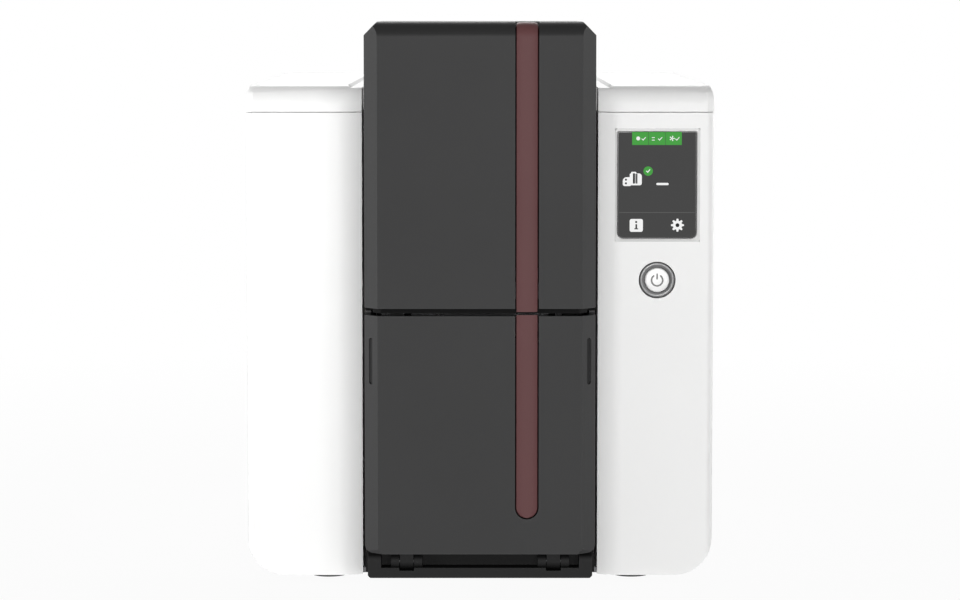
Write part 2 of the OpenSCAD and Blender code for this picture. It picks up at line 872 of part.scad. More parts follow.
module card_weight() {
    w = guide_in - 0.5;
    color("dimgray") difference() {
        block(-w, w, guide_front + 1, tower_back - cover_t - 1, deck_z + feed_lift + 0.2,
            deck_z + feed_lift + 0.2 + weight_h);
        block(-w + weight_rim, w - weight_rim, guide_front + 2 * weight_rim,
            tower_back - cover_t - 2 * weight_rim, deck_z + 3, far);
    }
}

module feed_shaft() {
    color("silver") rod(-tower_in + 0.6, tower_in - 10, feed_y, feed_z, shaft_r);
}
module feed_roller() { color("#222222") sleeve(feed_y, feed_z, feed_r, feed_half); }
module sleeve(y, z, r, half) {
    difference() {
        rod(-half, half, y, z, r);
        rod(-far, far, y, z, shaft_r + tiny);
    }
}
// Belt pulley with a flange, bored for its shaft
module pulley(y, z, x, bore) {
    difference() {
        union() {
            rod(x - pulley_w / 2, x + pulley_w / 2, y, z, pulley_r);
            rod(x - pulley_w / 2 - flange_w, x - pulley_w / 2, y, z, pulley_r + belt_t + flange_h);
        }
        rod(-far, far, y, z, bore + tiny);
    }
}
module feed_pulley() { color("ivory") pulley(feed_y, feed_z, -feed_pulley_x, shaft_r); }
module feed_motor_pulley() {
    color("ivory") pulley(feed_motor_y, feed_motor_z, -feed_pulley_x, motor_shaft_r + press_gap);
}
module feed_belt() {
    color("#1c1c1c") belt([[feed_y, feed_z], [feed_motor_y, feed_motor_z]], pulley_r + belt_gap,
        -feed_pulley_x - belt_w / 2, -feed_pulley_x + belt_w / 2);
}
module feed_motor() {
    x = -feed_pulley_x + pulley_w / 2 + 1;
    color("gray") union() {
        rod(x, x + feed_motor_l, feed_motor_y, feed_motor_z, feed_motor_r);
        rod(x - pulley_w - 2, x, feed_motor_y, feed_motor_z, motor_shaft_r);
        block(x, x + feed_bracket_t, feed_motor_y - feed_motor_r, feed_motor_y + feed_motor_r,
            pan_top, feed_motor_z);
        block(x, x + feed_bracket_l, feed_motor_y - feed_motor_r, feed_motor_y + feed_motor_r,
            pan_top, pan_top + feed_bracket_t);
    }
}

// ---- Print engine ----

module frame_plate() {
    difference() {
        spread(frame_x, frame_out) difference() {
            polygon([[frame_front, pan_top], [frame_front, frame_top - frame_cut],
                [frame_front + frame_cut / 2, frame_top], [frame_rear - frame_slope, frame_top],
                [frame_rear, frame_top - frame_slope], [frame_rear, pan_top]]);
            for (p = [[front_y, roller_z], [platen_y, roller_z], [rear_y, roller_z]])
                translate(p) circle(bush_r + tiny);
            for (p = [[front_y, top_nip + roller_r], [rear_y, top_nip + roller_r]])
                translate(p) circle(shaft_r + run_fit);
            translate([takeup_y, spool_z]) circle(spool_shaft + 0.5);
            translate([supply_y, spool_z]) circle(spool_shaft + 0.5);
            translate([motor_y, motor_z]) circle(boss_r + seam);
            translate([rear_y + 28, 70]) circle(14);
            translate([front_y + 4, 50]) circle(12);
        }
    }
}
module frame_left() { color("silver") mirror([1, 0, 0]) frame_plate(); }
module frame_right() { color("silver") frame_plate(); }
module frame_ties() {
    color("silver") for (y = [front_y + 30, platen_y + 30, frame_rear - 10])
        rod(-frame_x, frame_x, y, tie_z, tie_r);
}

module card_bed() {
    color("#2a2a2a") difference() {
        block(-frame_x + seam, frame_x - seam, bed_front, bed_rear, bed_low, bed_top);
        for (y = [front_y, platen_y, rear_y])
            block(-sleeve_half - 1, sleeve_half + 1, y - roller_r - 0.5, y + roller_r + 0.5, 0, far);
    }
}

module shaft_bushes() {
    color("goldenrod") both() for (y = [front_y, platen_y, rear_y]) difference() {
        rod(frame_x, frame_out + bush_end, y, roller_z, bush_r);
        rod(0, far, y, roller_z, shaft_r + run_fit);
    }
}

module engine_shaft(y) {
    color("silver") rod(-pulley_x - pulley_w / 2 - 0.5, frame_out + 2, y, roller_z, shaft_r);
}
module front_shaft() { engine_shaft(front_y); }
module platen_shaft() { engine_shaft(platen_y); }
module rear_shaft() { engine_shaft(rear_y); }
module front_roller() { color("#222222") sleeve(front_y, roller_z, roller_r, sleeve_half); }
module platen_roller() { color("#333333") sleeve(platen_y, roller_z, roller_r, sleeve_half); }
module rear_roller() { color("#222222") sleeve(rear_y, roller_z, roller_r, sleeve_half); }
module front_pulley() { color("ivory") pulley(front_y, roller_z, -pulley_x, shaft_r); }
module platen_pulley() { color("ivory") pulley(platen_y, roller_z, -pulley_x, shaft_r); }
module rear_pulley() { color("ivory") pulley(rear_y, roller_z, -pulley_x, shaft_r); }
module drive_belt() {
    color("#1c1c1c") belt([[front_y, roller_z], [motor_y, motor_z], [rear_y, roller_z]],
        pulley_r + belt_gap, -pulley_x - belt_w / 2, -pulley_x + belt_w / 2);
}
module drive_motor() {
    color("gray") union() {
        block(-frame_x, -frame_x + motor_l, motor_y - motor_half, motor_y + motor_half,
            motor_z - motor_half, motor_z + motor_half);
        rod(-frame_out - 1, -frame_x, motor_y, motor_z, boss_r);
        rod(-pulley_x - pulley_w / 2, -frame_out - 1, motor_y, motor_z, motor_shaft_r);
    }
}
module motor_pulley() {
    color("ivory") pulley(motor_y, motor_z, -pulley_x, motor_shaft_r + press_gap);
}

module upper_roller(y) {
    rod(-sleeve_half, sleeve_half, y, top_nip + roller_r, roller_r);
    rod(-frame_out - 1, frame_out + 1, y, top_nip + roller_r, shaft_r);
}
module cleaning_roller() { color("lightskyblue") upper_roller(front_y); }
module pinch_roller() { color("#222222") upper_roller(rear_y); }

module head_bracket() {
    color("silver") difference() {
        union() {
            block(-arm_x - arm_t, arm_x + arm_t, platen_y - head_d / 2, platen_y + head_d / 2,
                frame_drop - 2, frame_drop);
            both() block(arm_x, arm_x + arm_t, platen_y - head_d / 2, platen_y + head_d / 2,
                head_low + 4, frame_drop);
        }
        spread(-far, far) union() {
            translate([platen_y, head_pin_z]) circle(head_pin_r + run_fit);
            translate([platen_y - head_pin_r - run_fit, head_pin_z])
                square([2 * (head_pin_r + run_fit), head_lift + 0.2]);
            translate([platen_y, head_pin_z + head_lift + 0.2]) circle(head_pin_r + run_fit);
        }
    }
}
module print_head() {
    color("darkgray") difference() {
        union() {
            block(-head_half, head_half, platen_y - head_d / 2, platen_y + head_d / 2, head_low,
                head_low + head_h);
            rod(-arm_x - arm_t - 0.8, arm_x + arm_t + 0.8, platen_y, head_pin_z, head_pin_r);
        }
        for (i = [-2 : 2]) block(-far, far, platen_y + head_fin_step * i - head_fin_gap / 2,
            platen_y + head_fin_step * i + head_fin_gap / 2, head_low + head_fin, far);
    }
}

module ribbon_cassette() {
    low = spool_z - cassette_down;
    high = spool_z + cassette_up;
    front = takeup_y - cassette_end;
    rear = supply_y + cassette_end;
    leg = cassette_leg;
    color("#4a4a4a") difference() {
        union() {
            both() spread(plate_x, plate_x + plate_t) polygon([[front, low], [front, high],
                [rear, high], [rear, low], [supply_y + leg, bed_top], [supply_y - leg, bed_top],
                [supply_y - 2 * leg, low], [takeup_y + leg, low], [takeup_y - leg, bed_top],
                [takeup_y - 3 * leg, bed_top]]);
            for (y = [front + 0.5, rear - bar_w - 0.5])
                block(-plate_x, plate_x, y, y + bar_w, high - bar_h, high);
        }
        both() for (y = [takeup_y, supply_y]) rod(0, far, y, spool_z, spool_shaft + run_fit);
    }
}
module spool(y, r) {
    rod(-ribbon_half, ribbon_half, y, spool_z, r);
    both() rod(ribbon_half, ribbon_half + spool_flange_w, y, spool_z, spool_flange_r);
    rod(-plate_x - plate_t, plate_x + plate_t, y, spool_z, spool_shaft);
}
module supply_spool() { color("#6a4a7a") spool(supply_y, supply_r); }
module takeup_spool() {
    color("#3a3a4a") union() {
        spool(takeup_y, takeup_r);
        rod(-frame_out - 5, 0, takeup_y, spool_z, spool_shaft);
    }
}
module ribbon_film() {
    g = film_t;
    y1 = platen_y + head_d / 2 + 4;
    y2 = platen_y - head_d / 2 - 4;
    z1 = head_low - 0.65;
    sy = supply_y - (supply_r + film_gap) * cos(film_lead);
    sz = spool_z - (supply_r + film_gap) * sin(film_lead);
    ty = takeup_y + (takeup_r + film_gap) * cos(film_lead);
    tz = spool_z - (takeup_r + film_gap) * sin(film_lead);
    color("#50306a") spread(-ribbon_half + 1, ribbon_half - 1)
        polygon([[sy, sz], [y1, z1], [y2, z1], [ty, tz], [ty - g, tz - g], [y2 - g / 2, z1 - g],
            [y1 + g / 2, z1 - g], [sy + g, sz - g]]);
}
module ribbon_motor() {
    color("gray") difference() {
        union() {
            rod(-frame_out - ribbon_motor_l, -frame_out, takeup_y, spool_z, ribbon_motor_r);
            block(-frame_out - 2, -frame_out, takeup_y - ribbon_plate, takeup_y + ribbon_plate,
                spool_z - 10, spool_z + 10);
        }
        rod(-frame_out - 7, 0, takeup_y, spool_z, spool_shaft + run_fit);
    }
}

// ---- Electrical parts ----

module main_board() {
    y0 = y_front + board_front;
    y1 = panel_y - board_rear;
    low = port_z - port_half_h + 1;
    high = port_z + port_half_h - 1;
    color("darkgreen") union() {
        block(board_x, board_x + board_t, y0, y1, board_low, board_high);
        block(board_x - 9, board_x, y0 + 20, y0 + 60, 80, 100);
        block(board_x - 3, board_x, y0 + 90, y0 + 118, 70, 98);
        board_posts(y0, y1);
        socket(port_x - port_half_w + 1, port_x - 1, low, high);
        socket(port_x + port_wall, port_x + port_half_w - 1, low, high);
        // daughter board behind the two sockets, and its link to the main board
        block(port_x - port_half_w + 1, board_x, panel_y - port_d - 2, panel_y - port_d, low, high);
        block(board_x - 3, board_x, panel_y - port_d - 2, y1, low, high);
    }
}
// A data socket, open to the rear
module socket(x0, x1, low, high) {
    difference() {
        block(x0, x1, panel_y - port_d, panel_y, low, high);
        block(x0 + port_wall, x1 - port_wall, panel_y - port_hole_d, panel_y + 1, low + 3, high - 3);
    }
}
// Two standoffs that carry the board from the pan
module board_posts(y0, y1) {
    for (y = [y0 + 12, y1 - 40]) {
        block(pan_half - post_w, pan_half - 2, y, y + post_w, pan_top, post_z);
        block(pan_half - 3, board_x + board_t / 2, y, y + post_w, board_low + 4, post_z);
    }
}

module power_inlet() {
    mouth = panel_y + panel_t;
    half_w = inlet_w / 2;
    half_h = inlet_h / 2;
    blades = [[-7, -1], [7, -1], [0, 3]];
    color("#202020") difference() {
        union() {
            block(inlet_x - half_w, inlet_x + half_w, panel_y - inlet_d, mouth, inlet_z - half_h,
                inlet_z + half_h);
            block(inlet_x - half_w - inlet_rim, inlet_x + half_w + inlet_rim, mouth,
                mouth + inlet_rim_t, inlet_z - half_h - inlet_rim, inlet_z + half_h + inlet_rim);
        }
        block(inlet_x - inlet_hole_w / 2, inlet_x + inlet_hole_w / 2, panel_y - inlet_hole_d, far,
            inlet_z - inlet_hole_h / 2, inlet_z + inlet_hole_h / 2);
    }
    color("silver") for (d = blades)
        block(inlet_x + d[0] - blade_w / 2, inlet_x + d[0] + blade_w / 2, panel_y - inlet_hole_d,
            panel_y, inlet_z + d[1] - blade_h / 2, inlet_z + d[1] + blade_h / 2);
}
module power_supply() {
    rear = panel_y - supply_in;
    color("lightgray") difference() {
        block(-pan_half - 4, -frame_out - supply_side, rear - supply_l, rear, pan_top,
            pan_top + supply_h);
        for (i = [0 : slit_count - 1]) block(-pan_half - 6, -pan_half - 2,
            rear - supply_l + 10 + slit_step * i, rear - supply_l + 10 + slit_step * i + slit_w,
            pan_top + 15, pan_top + supply_h - 8);
    }
}
module fan_housing() {
    half = fan_size / 2;
    color("#202020") difference() {
        block(fan_x - half, fan_x + half, panel_y - fan_depth, panel_y, fan_z - half, fan_z + half);
        stud(panel_y - fan_depth - 1, panel_y - 2, fan_x, fan_z, fan_hole_r);
        for (a = [0 : 360 / fan_blades : 359]) translate([fan_x, 0, fan_z]) rotate([0, a, 0])
            block(-3, 3, panel_y - 3, panel_y + 1, fan_hub_r + 1, fan_hole_r - 1);
    }
    color("#202020") stud(panel_y - 5, panel_y - 1.9, fan_x, fan_z, fan_pin_r);
}
module fan_rotor() {
    blade = [fan_hole_r - fan_hub_r + 0.5, 2, 5];
    color("#303030") difference() {
        union() {
            stud(panel_y - fan_depth + 1, panel_y - 2.5, fan_x, fan_z, fan_hub_r);
            for (a = [0 : 360 / fan_blades : 359]) translate([fan_x, 0, fan_z]) rotate([0, a, 0])
                translate([fan_hub_r - 2, panel_y - fan_depth + 2, -0.8]) rotate([0, 0, 20]) cube(blade);
        }
        stud(panel_y - 5.1, far, fan_x, fan_z, fan_pin_r + run_fit);
    }
}

module touch_screen() {
    x0 = panel_x - screen_w / 2;
    x1 = panel_x + screen_w / 2;
    z0 = screen_z - screen_h / 2;
    z1 = screen_z + screen_h / 2;
    color("#303030") union() {
        block(x0, x1, y_front + 0.4, y_front + screen_back_d - 2, z0, z1);
        block(x0 - screen_lap, x1 + screen_lap / 2, y_front + wall + 2, y_front + screen_back_d,
            z0 - screen_lap, z1 + screen_lap);
    }
}
module button_ring() {
    color("gray") difference() {
        union() {
            stud(y_front - 0.2, y_front + ring_d, panel_x, button_z, ring_r);
            stud(y_front + wall + 0.2, y_front + ring_d, panel_x, button_z, ring_r + ring_lap);
        }
        stud(y_front - 1, far, panel_x, button_z, button_r + run_fit);
    }
}
module power_button() {
    back = y_front + ring_d + 0.4;
    color("lightgray") union() {
        stud(y_front - 0.1, back, panel_x, button_z, button_r);
        stud(back, back + 1.2, panel_x, button_z, button_r + button_lap);
    }
}

module screws() {
    mouth = panel_y + panel_t;
    color("silver") {
        both() for (z = [30, 150])
            stud(mouth, mouth + screw_head, half_w - panel_screw_in, z, screw_r);
        both() for (y = [motor_y - 15, motor_y + 15])
            rod(frame_out, frame_out + screw_head, y, motor_z / 2, screw_r);
        both() for (y = [front_y - 6, rear_y + 36])
            rod(frame_out, frame_out + screw_head, y, deck_z - frame_screw_drop, screw_r);
    }
}

base_pan();
rubber_feet();
left_casing();
right_casing();
rear_panel();
lid();
lid_frame();
hinge_pins();
hopper_base();
hopper_casing();
output_tray();
lower_cover();
lower_window();
feeder_casing();
feeder_floor();
card_weight();
thickness_slider();
upper_cover();
upper_window();
feed_shaft();
feed_roller();
feed_pulley();
feed_belt();
feed_motor();
feed_motor_pulley();
frame_left();
frame_right();
frame_ties();
card_bed();
shaft_bushes();
front_shaft();
front_roller();
front_pulley();
platen_shaft();
platen_roller();
platen_pulley();
rear_shaft();
rear_roller();
rear_pulley();
drive_belt();
drive_motor();
motor_pulley();
cleaning_roller();
pinch_roller();
head_bracket();
print_head();
ribbon_cassette();
supply_spool();
takeup_spool();
ribbon_film();
ribbon_motor();
main_board();
power_inlet();
power_supply();
fan_housing();
fan_rotor();
touch_screen();
button_ring();
power_button();
screws();
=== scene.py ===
# Desktop ID card printer: surfaces, finishes, light and camera around its solid construction
import json
import math
import bmesh
import bpy
import numpy as np
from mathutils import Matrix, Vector


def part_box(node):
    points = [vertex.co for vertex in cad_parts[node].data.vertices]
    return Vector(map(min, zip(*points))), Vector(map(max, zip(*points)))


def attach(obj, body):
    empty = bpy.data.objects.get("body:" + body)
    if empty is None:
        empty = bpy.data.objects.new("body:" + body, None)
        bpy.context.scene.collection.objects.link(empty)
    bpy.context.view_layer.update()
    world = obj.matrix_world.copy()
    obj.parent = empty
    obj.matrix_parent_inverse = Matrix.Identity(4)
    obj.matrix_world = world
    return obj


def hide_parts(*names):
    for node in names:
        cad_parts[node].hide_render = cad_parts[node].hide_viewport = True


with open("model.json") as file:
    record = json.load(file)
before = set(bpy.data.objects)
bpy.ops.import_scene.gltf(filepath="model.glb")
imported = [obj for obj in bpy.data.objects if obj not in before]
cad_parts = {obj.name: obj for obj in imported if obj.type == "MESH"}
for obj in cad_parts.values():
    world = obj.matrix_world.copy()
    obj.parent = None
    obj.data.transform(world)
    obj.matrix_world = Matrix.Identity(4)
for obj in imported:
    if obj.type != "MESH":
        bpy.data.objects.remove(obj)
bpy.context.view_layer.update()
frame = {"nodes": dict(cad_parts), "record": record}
nodes = frame["nodes"]
mm = 0.001
print("frame loaded:", len(nodes), "nodes")


# shader groups that several finishes share

wear = {
    # radius that finds an edge in m, gain of its mask, share of the cells in the grain, how much
    # smoother and lighter a rubbed edge is, and the dust's colours
    "cornerRadius": 0.0012, "gain": 5.0, "cellShare": 0.6, "polish": -0.12,
    "lift": 1.25, "metalLift": 1.3, "rubberLift": 1.6,
    "dust": (0.5, 0.49, 0.47), "rubberDust": (0.4, 0.39, 0.37),
}


def newGroup(name, inputs, outputs):
    group = bpy.data.node_groups.new(name, "ShaderNodeTree")
    for label, kind, value in inputs:
        socket = group.interface.new_socket(label, in_out="INPUT", socket_type=kind)
        socket.default_value = value
    for label, kind in outputs:
        group.interface.new_socket(label, in_out="OUTPUT", socket_type=kind)
    start = group.nodes.new("NodeGroupInput")
    end = group.nodes.new("NodeGroupOutput")
    return group, start, end


def node(tree, kind, **settings):
    # a node with properties and plain socket values set in one call
    made = tree.nodes.new(kind)
    for key, value in settings.items():
        if hasattr(made, key):
            setattr(made, key, value)
        else:
            made.inputs[key.replace("_", " ")].default_value = value
    return made


def maths(tree, operation, a, b=None, clamp=False):
    made = tree.nodes.new("ShaderNodeMath")
    made.operation = operation
    made.use_clamp = clamp
    for socket, value in zip(made.inputs, (a, b)):
        if value is None:
            continue
        if isinstance(value, (int, float)):
            socket.default_value = value
        else:
            tree.links.new(value, socket)
    return made.outputs[0]


def blendColour(tree, factor, a, b):
    made = tree.nodes.new("ShaderNodeMix")
    made.data_type = "RGBA"
    for socket, value in ((made.inputs[0], factor), (made.inputs[6], a), (made.inputs[7], b)):
        if isinstance(value, (int, float)):
            socket.default_value = value
        elif isinstance(value, (tuple, list)):
            socket.default_value = tuple(value)[:3] + (1.0,)
        else:
            tree.links.new(value, socket)
    return made.outputs[2]


def makeGrainGroup():
    # moulded or rolled grain: two noises on the object's own coordinates
    group, start, end = newGroup(
        "surfaceGrain",
        [("Scale", "NodeSocketFloat", 900.0), ("Stretch", "NodeSocketVector", (1, 1, 1))],
        [("Height", "NodeSocketFloat"), ("Fine", "NodeSocketFloat"), ("Broad", "NodeSocketFloat")])
    spot = node(group, "ShaderNodeTexCoord")
    scaled = node(group, "ShaderNodeVectorMath", operation="MULTIPLY")
    group.links.new(spot.outputs["Object"], scaled.inputs[0])
    group.links.new(start.outputs["Stretch"], scaled.inputs[1])
    fine = node(group, "ShaderNodeTexNoise", Detail=3.0, Roughness=0.6)
    group.links.new(scaled.outputs[0], fine.inputs["Vector"])
    group.links.new(start.outputs["Scale"], fine.inputs["Scale"])
    cells = node(group, "ShaderNodeTexVoronoi", feature="SMOOTH_F1")
    group.links.new(scaled.outputs[0], cells.inputs["Vector"])
    group.links.new(start.outputs["Scale"], cells.inputs["Scale"])
    broad = node(group, "ShaderNodeTexNoise", Scale=14.0, Detail=4.0, Roughness=0.55)
    group.links.new(spot.outputs["Object"], broad.inputs["Vector"])
    height = maths(group, "MULTIPLY_ADD", cells.outputs["Distance"], wear["cellShare"])
    group.links.new(fine.outputs["Fac"], height.node.inputs[2])
    group.links.new(height, end.inputs["Height"])
    group.links.new(fine.outputs["Fac"], end.inputs["Fine"])
    group.links.new(broad.outputs["Fac"], end.inputs["Broad"])
    return group


def makeEdgeGroup():
    # mask that is 1 where an edge is rubbed: one less the product of the rounded and the true
    # normal, broken up by noise
    group, start, end = newGroup(
        "rubbedEdges",
        [("Breakup", "NodeSocketFloat", 120.0), ("Strength", "NodeSocketFloat", 1.0)],
        [("Mask", "NodeSocketFloat")])
    rounded = node(group, "ShaderNodeBevel", samples=4, Radius=wear["cornerRadius"])
    surface = node(group, "ShaderNodeNewGeometry")
    product = node(group, "ShaderNodeVectorMath", operation="DOT_PRODUCT")
    group.links.new(rounded.outputs[0], product.inputs[0])
    group.links.new(surface.outputs["Normal"], product.inputs[1])
    edge = maths(group, "SUBTRACT", 1.0, product.outputs["Value"])
    spot = node(group, "ShaderNodeTexCoord")
    noise = node(group, "ShaderNodeTexNoise", Detail=5.0, Roughness=0.65)
    group.links.new(spot.outputs["Object"], noise.inputs["Vector"])
    group.links.new(start.outputs["Breakup"], noise.inputs["Scale"])
    broken = maths(group, "MULTIPLY", edge, noise.outputs["Fac"])
    strong = maths(group, "MULTIPLY", broken, start.outputs["Strength"])
    group.links.new(maths(group, "MULTIPLY", strong, wear["gain"], True), end.inputs["Mask"])
    return group


def makeDustGroup():
    # thin dust on faces that look up, thicker in patches
    group, start, end = newGroup(
        "settledDust",
        [("Amount", "NodeSocketFloat", 0.1)],
        [("Mask", "NodeSocketFloat")])
    surface = node(group, "ShaderNodeNewGeometry")
    parts = node(group, "ShaderNodeSeparateXYZ")
    group.links.new(surface.outputs["Normal"], parts.inputs[0])
    spot = node(group, "ShaderNodeTexCoord")
    noise = node(group, "ShaderNodeTexNoise", Scale=45.0, Detail=6.0, Roughness=0.7)
    group.links.new(spot.outputs["Object"], noise.inputs["Vector"])
    up = maths(group, "MULTIPLY", maths(group, "MAXIMUM", parts.outputs["Z"], 0.0), noise.outputs["Fac"])
    group.links.new(maths(group, "MULTIPLY", up, start.outputs["Amount"], True), end.inputs["Mask"])
    return group


grainGroup = makeGrainGroup()
edgeGroup = makeEdgeGroup()
dustGroup = makeDustGroup()


def place(tree, group, **values):
    made = tree.nodes.new("ShaderNodeGroup")
    made.node_tree = group
    for key, value in values.items():
        made.inputs[key].default_value = value
    return made


def newMaterial(name):
    made = bpy.data.materials.new(name)
    made.use_nodes = True
    tree = made.node_tree
    shader = tree.nodes["Principled BSDF"]
    return made, tree, shader


def bump(tree, shader, height, strength, distance):
    made = node(tree, "ShaderNodeBump", Strength=strength, Distance=distance)
    tree.links.new(height, made.inputs["Height"])
    tree.links.new(made.outputs[0], shader.inputs["Normal"])


def ramp(tree, factor, low=0.3, high=0.7, a=0.0, b=1.0):
    # from a to b as the factor goes from low to high; a noise mostly stays within 0.3 and 0.7
    made = node(tree, "ShaderNodeMapRange")
    for key, value in (("From Min", low), ("From Max", high), ("To Min", a), ("To Max", b)):
        made.inputs[key].default_value = value
    tree.links.new(factor, made.inputs["Value"])
    return made.outputs["Result"]


def behind(tree, axis, near, far):
    # 0 before the near place on an object axis and 1 past the far one, in m
    spot = node(tree, "ShaderNodeTexCoord")
    parts = node(tree, "ShaderNodeSeparateXYZ")
    tree.links.new(spot.outputs["Object"], parts.inputs[0])
    return ramp(tree, parts.outputs[axis], near, far)


def upturnedShadeMask(tree):
    # 1 on a radius between an upright face and a top, 0 on both faces: where a painted shade goes on such
    # radii
    spot = node(tree, "ShaderNodeTexCoord")
    parts = node(tree, "ShaderNodeSeparateXYZ")
    tree.links.new(spot.outputs["Normal"], parts.inputs[0])
    leaving = ramp(tree, parts.outputs["Z"], 0.06, 0.22)
    arriving = ramp(tree, parts.outputs["Z"], 0.93, 0.99, 1.0, 0.0)
    return maths(tree, "MULTIPLY", leaving, arriving)


def shades(colour, vary):
    # a darker and a lighter neighbour of a colour
    return tuple(c * (1 - vary) for c in colour), tuple(min(1.0, c * (1 + vary)) for c in colour)


def plastic(name, colour, rough=0.45, grain=1400.0, depth=0.00002, bumpAmount=0.25, vary=0.04,
            rub=0.3, rubColour=None, dust=0.05, specular=0.5, deep=None, radii=None):
    # moulded plastic: fine grain, faint tone changes, polished edges and a little dust. deep is an
    # axis, two places on it and the share of the colour, or the other colour, past them: a share is a
    # painted shade, as on the covers and the hopper base, another colour a real second colour. radii is
    # the share of the colour on edges that turn up to a top, a painted shade on those radii
    made, tree, shader = newMaterial(name)
    surface = place(tree, grainGroup, Scale=grain)
    edges = place(tree, edgeGroup, Strength=rub)
    settled = place(tree, dustGroup, Amount=dust)
    darker, lighter = shades(colour, vary)
    tone = blendColour(tree, ramp(tree, surface.outputs["Broad"]), darker, lighter)
    speck = blendColour(tree, ramp(tree, surface.outputs["Fine"], 0.35, 0.75, 0.0, 0.25), tone, lighter)
    worn = rubColour or tuple(min(1.0, c * wear["lift"] + 0.01) for c in colour)
    rubbed = blendColour(tree, edges.outputs["Mask"], speck, worn)
    layeredColour = blendColour(tree, settled.outputs["Mask"], rubbed, wear["dust"])
    # past the places the colour falls to a share as painted shade, or turns to a real second colour
    if deep:
        axis, near, far, share = deep
        beyond = share if isinstance(share, tuple) else tuple(c * share for c in colour)
        layeredColour = blendColour(tree, behind(tree, axis, near, far), layeredColour, beyond)
    # upturned radii darkened as painted shade
    if radii:
        layeredColour = blendColour(tree, upturnedShadeMask(tree), layeredColour, tuple(c * radii for c in colour))
    tree.links.new(layeredColour, shader.inputs["Base Color"])
    roughness = ramp(tree, surface.outputs["Fine"], a=rough - 0.05, b=rough + 0.06)
    softer = maths(tree, "MULTIPLY_ADD", edges.outputs["Mask"], wear["polish"])
    tree.links.new(roughness, softer.node.inputs[2])
    tree.links.new(softer, shader.inputs["Roughness"])
    shader.inputs["Specular IOR Level"].default_value = specular
    bump(tree, shader, surface.outputs["Height"], bumpAmount, depth)
    return made


def metal(name, colour, rough=0.3, stretch=(1, 1, 60), grain=160.0, depth=0.00001, vary=0.08,
          rub=0.5, metallic=1.0):
    # drawn or ground metal: stretched grain, brighter rubbed edges
    made, tree, shader = newMaterial(name)
    surface = place(tree, grainGroup, Scale=grain, Stretch=stretch)
    edges = place(tree, edgeGroup, Strength=rub)
    darker, lighter = shades(colour, vary)
    tone = blendColour(tree, ramp(tree, surface.outputs["Fine"]), darker, lighter)
    patch = blendColour(tree, ramp(tree, surface.outputs["Broad"], 0.35, 0.7, 0.0, 0.35), tone, darker)
    worn = tuple(min(1.0, c * wear["metalLift"]) for c in colour)
    rubbed = blendColour(tree, edges.outputs["Mask"], patch, worn)
    tree.links.new(rubbed, shader.inputs["Base Color"])
    shader.inputs["Metallic"].default_value = metallic
    roughness = ramp(tree, surface.outputs["Fine"], a=rough - 0.07, b=rough + 0.08)
    tree.links.new(roughness, shader.inputs["Roughness"])
    bump(tree, shader, surface.outputs["Height"], 0.3, depth)
    return made


def rubber(name, colour, rough=0.7, grain=2200.0, depth=0.00003, dust=0.12):
    # ground rubber: matt, finely pitted, dusty
    made, tree, shader = newMaterial(name)
    surface = place(tree, grainGroup, Scale=grain)
    settled = place(tree, dustGroup, Amount=dust)
    lighter = tuple(min(1.0, c * wear["rubberLift"] + 0.01) for c in colour)
    tone = blendColour(tree, ramp(tree, surface.outputs["Broad"], 0.35, 0.75, 0.0, 0.5), colour, lighter)
    pits = blendColour(tree, ramp(tree, surface.outputs["Fine"], 0.4, 0.7, 0.0, 0.3), tone, lighter)
    layeredColour = blendColour(tree, settled.outputs["Mask"], pits, wear["rubberDust"])
    tree.links.new(layeredColour, shader.inputs["Base Color"])
    roughness = ramp(tree, surface.outputs["Fine"], a=rough - 0.06, b=rough + 0.1)
    tree.links.new(roughness, shader.inputs["Roughness"])
    bump(tree, shader, surface.outputs["Height"], 0.5, depth)
    return made


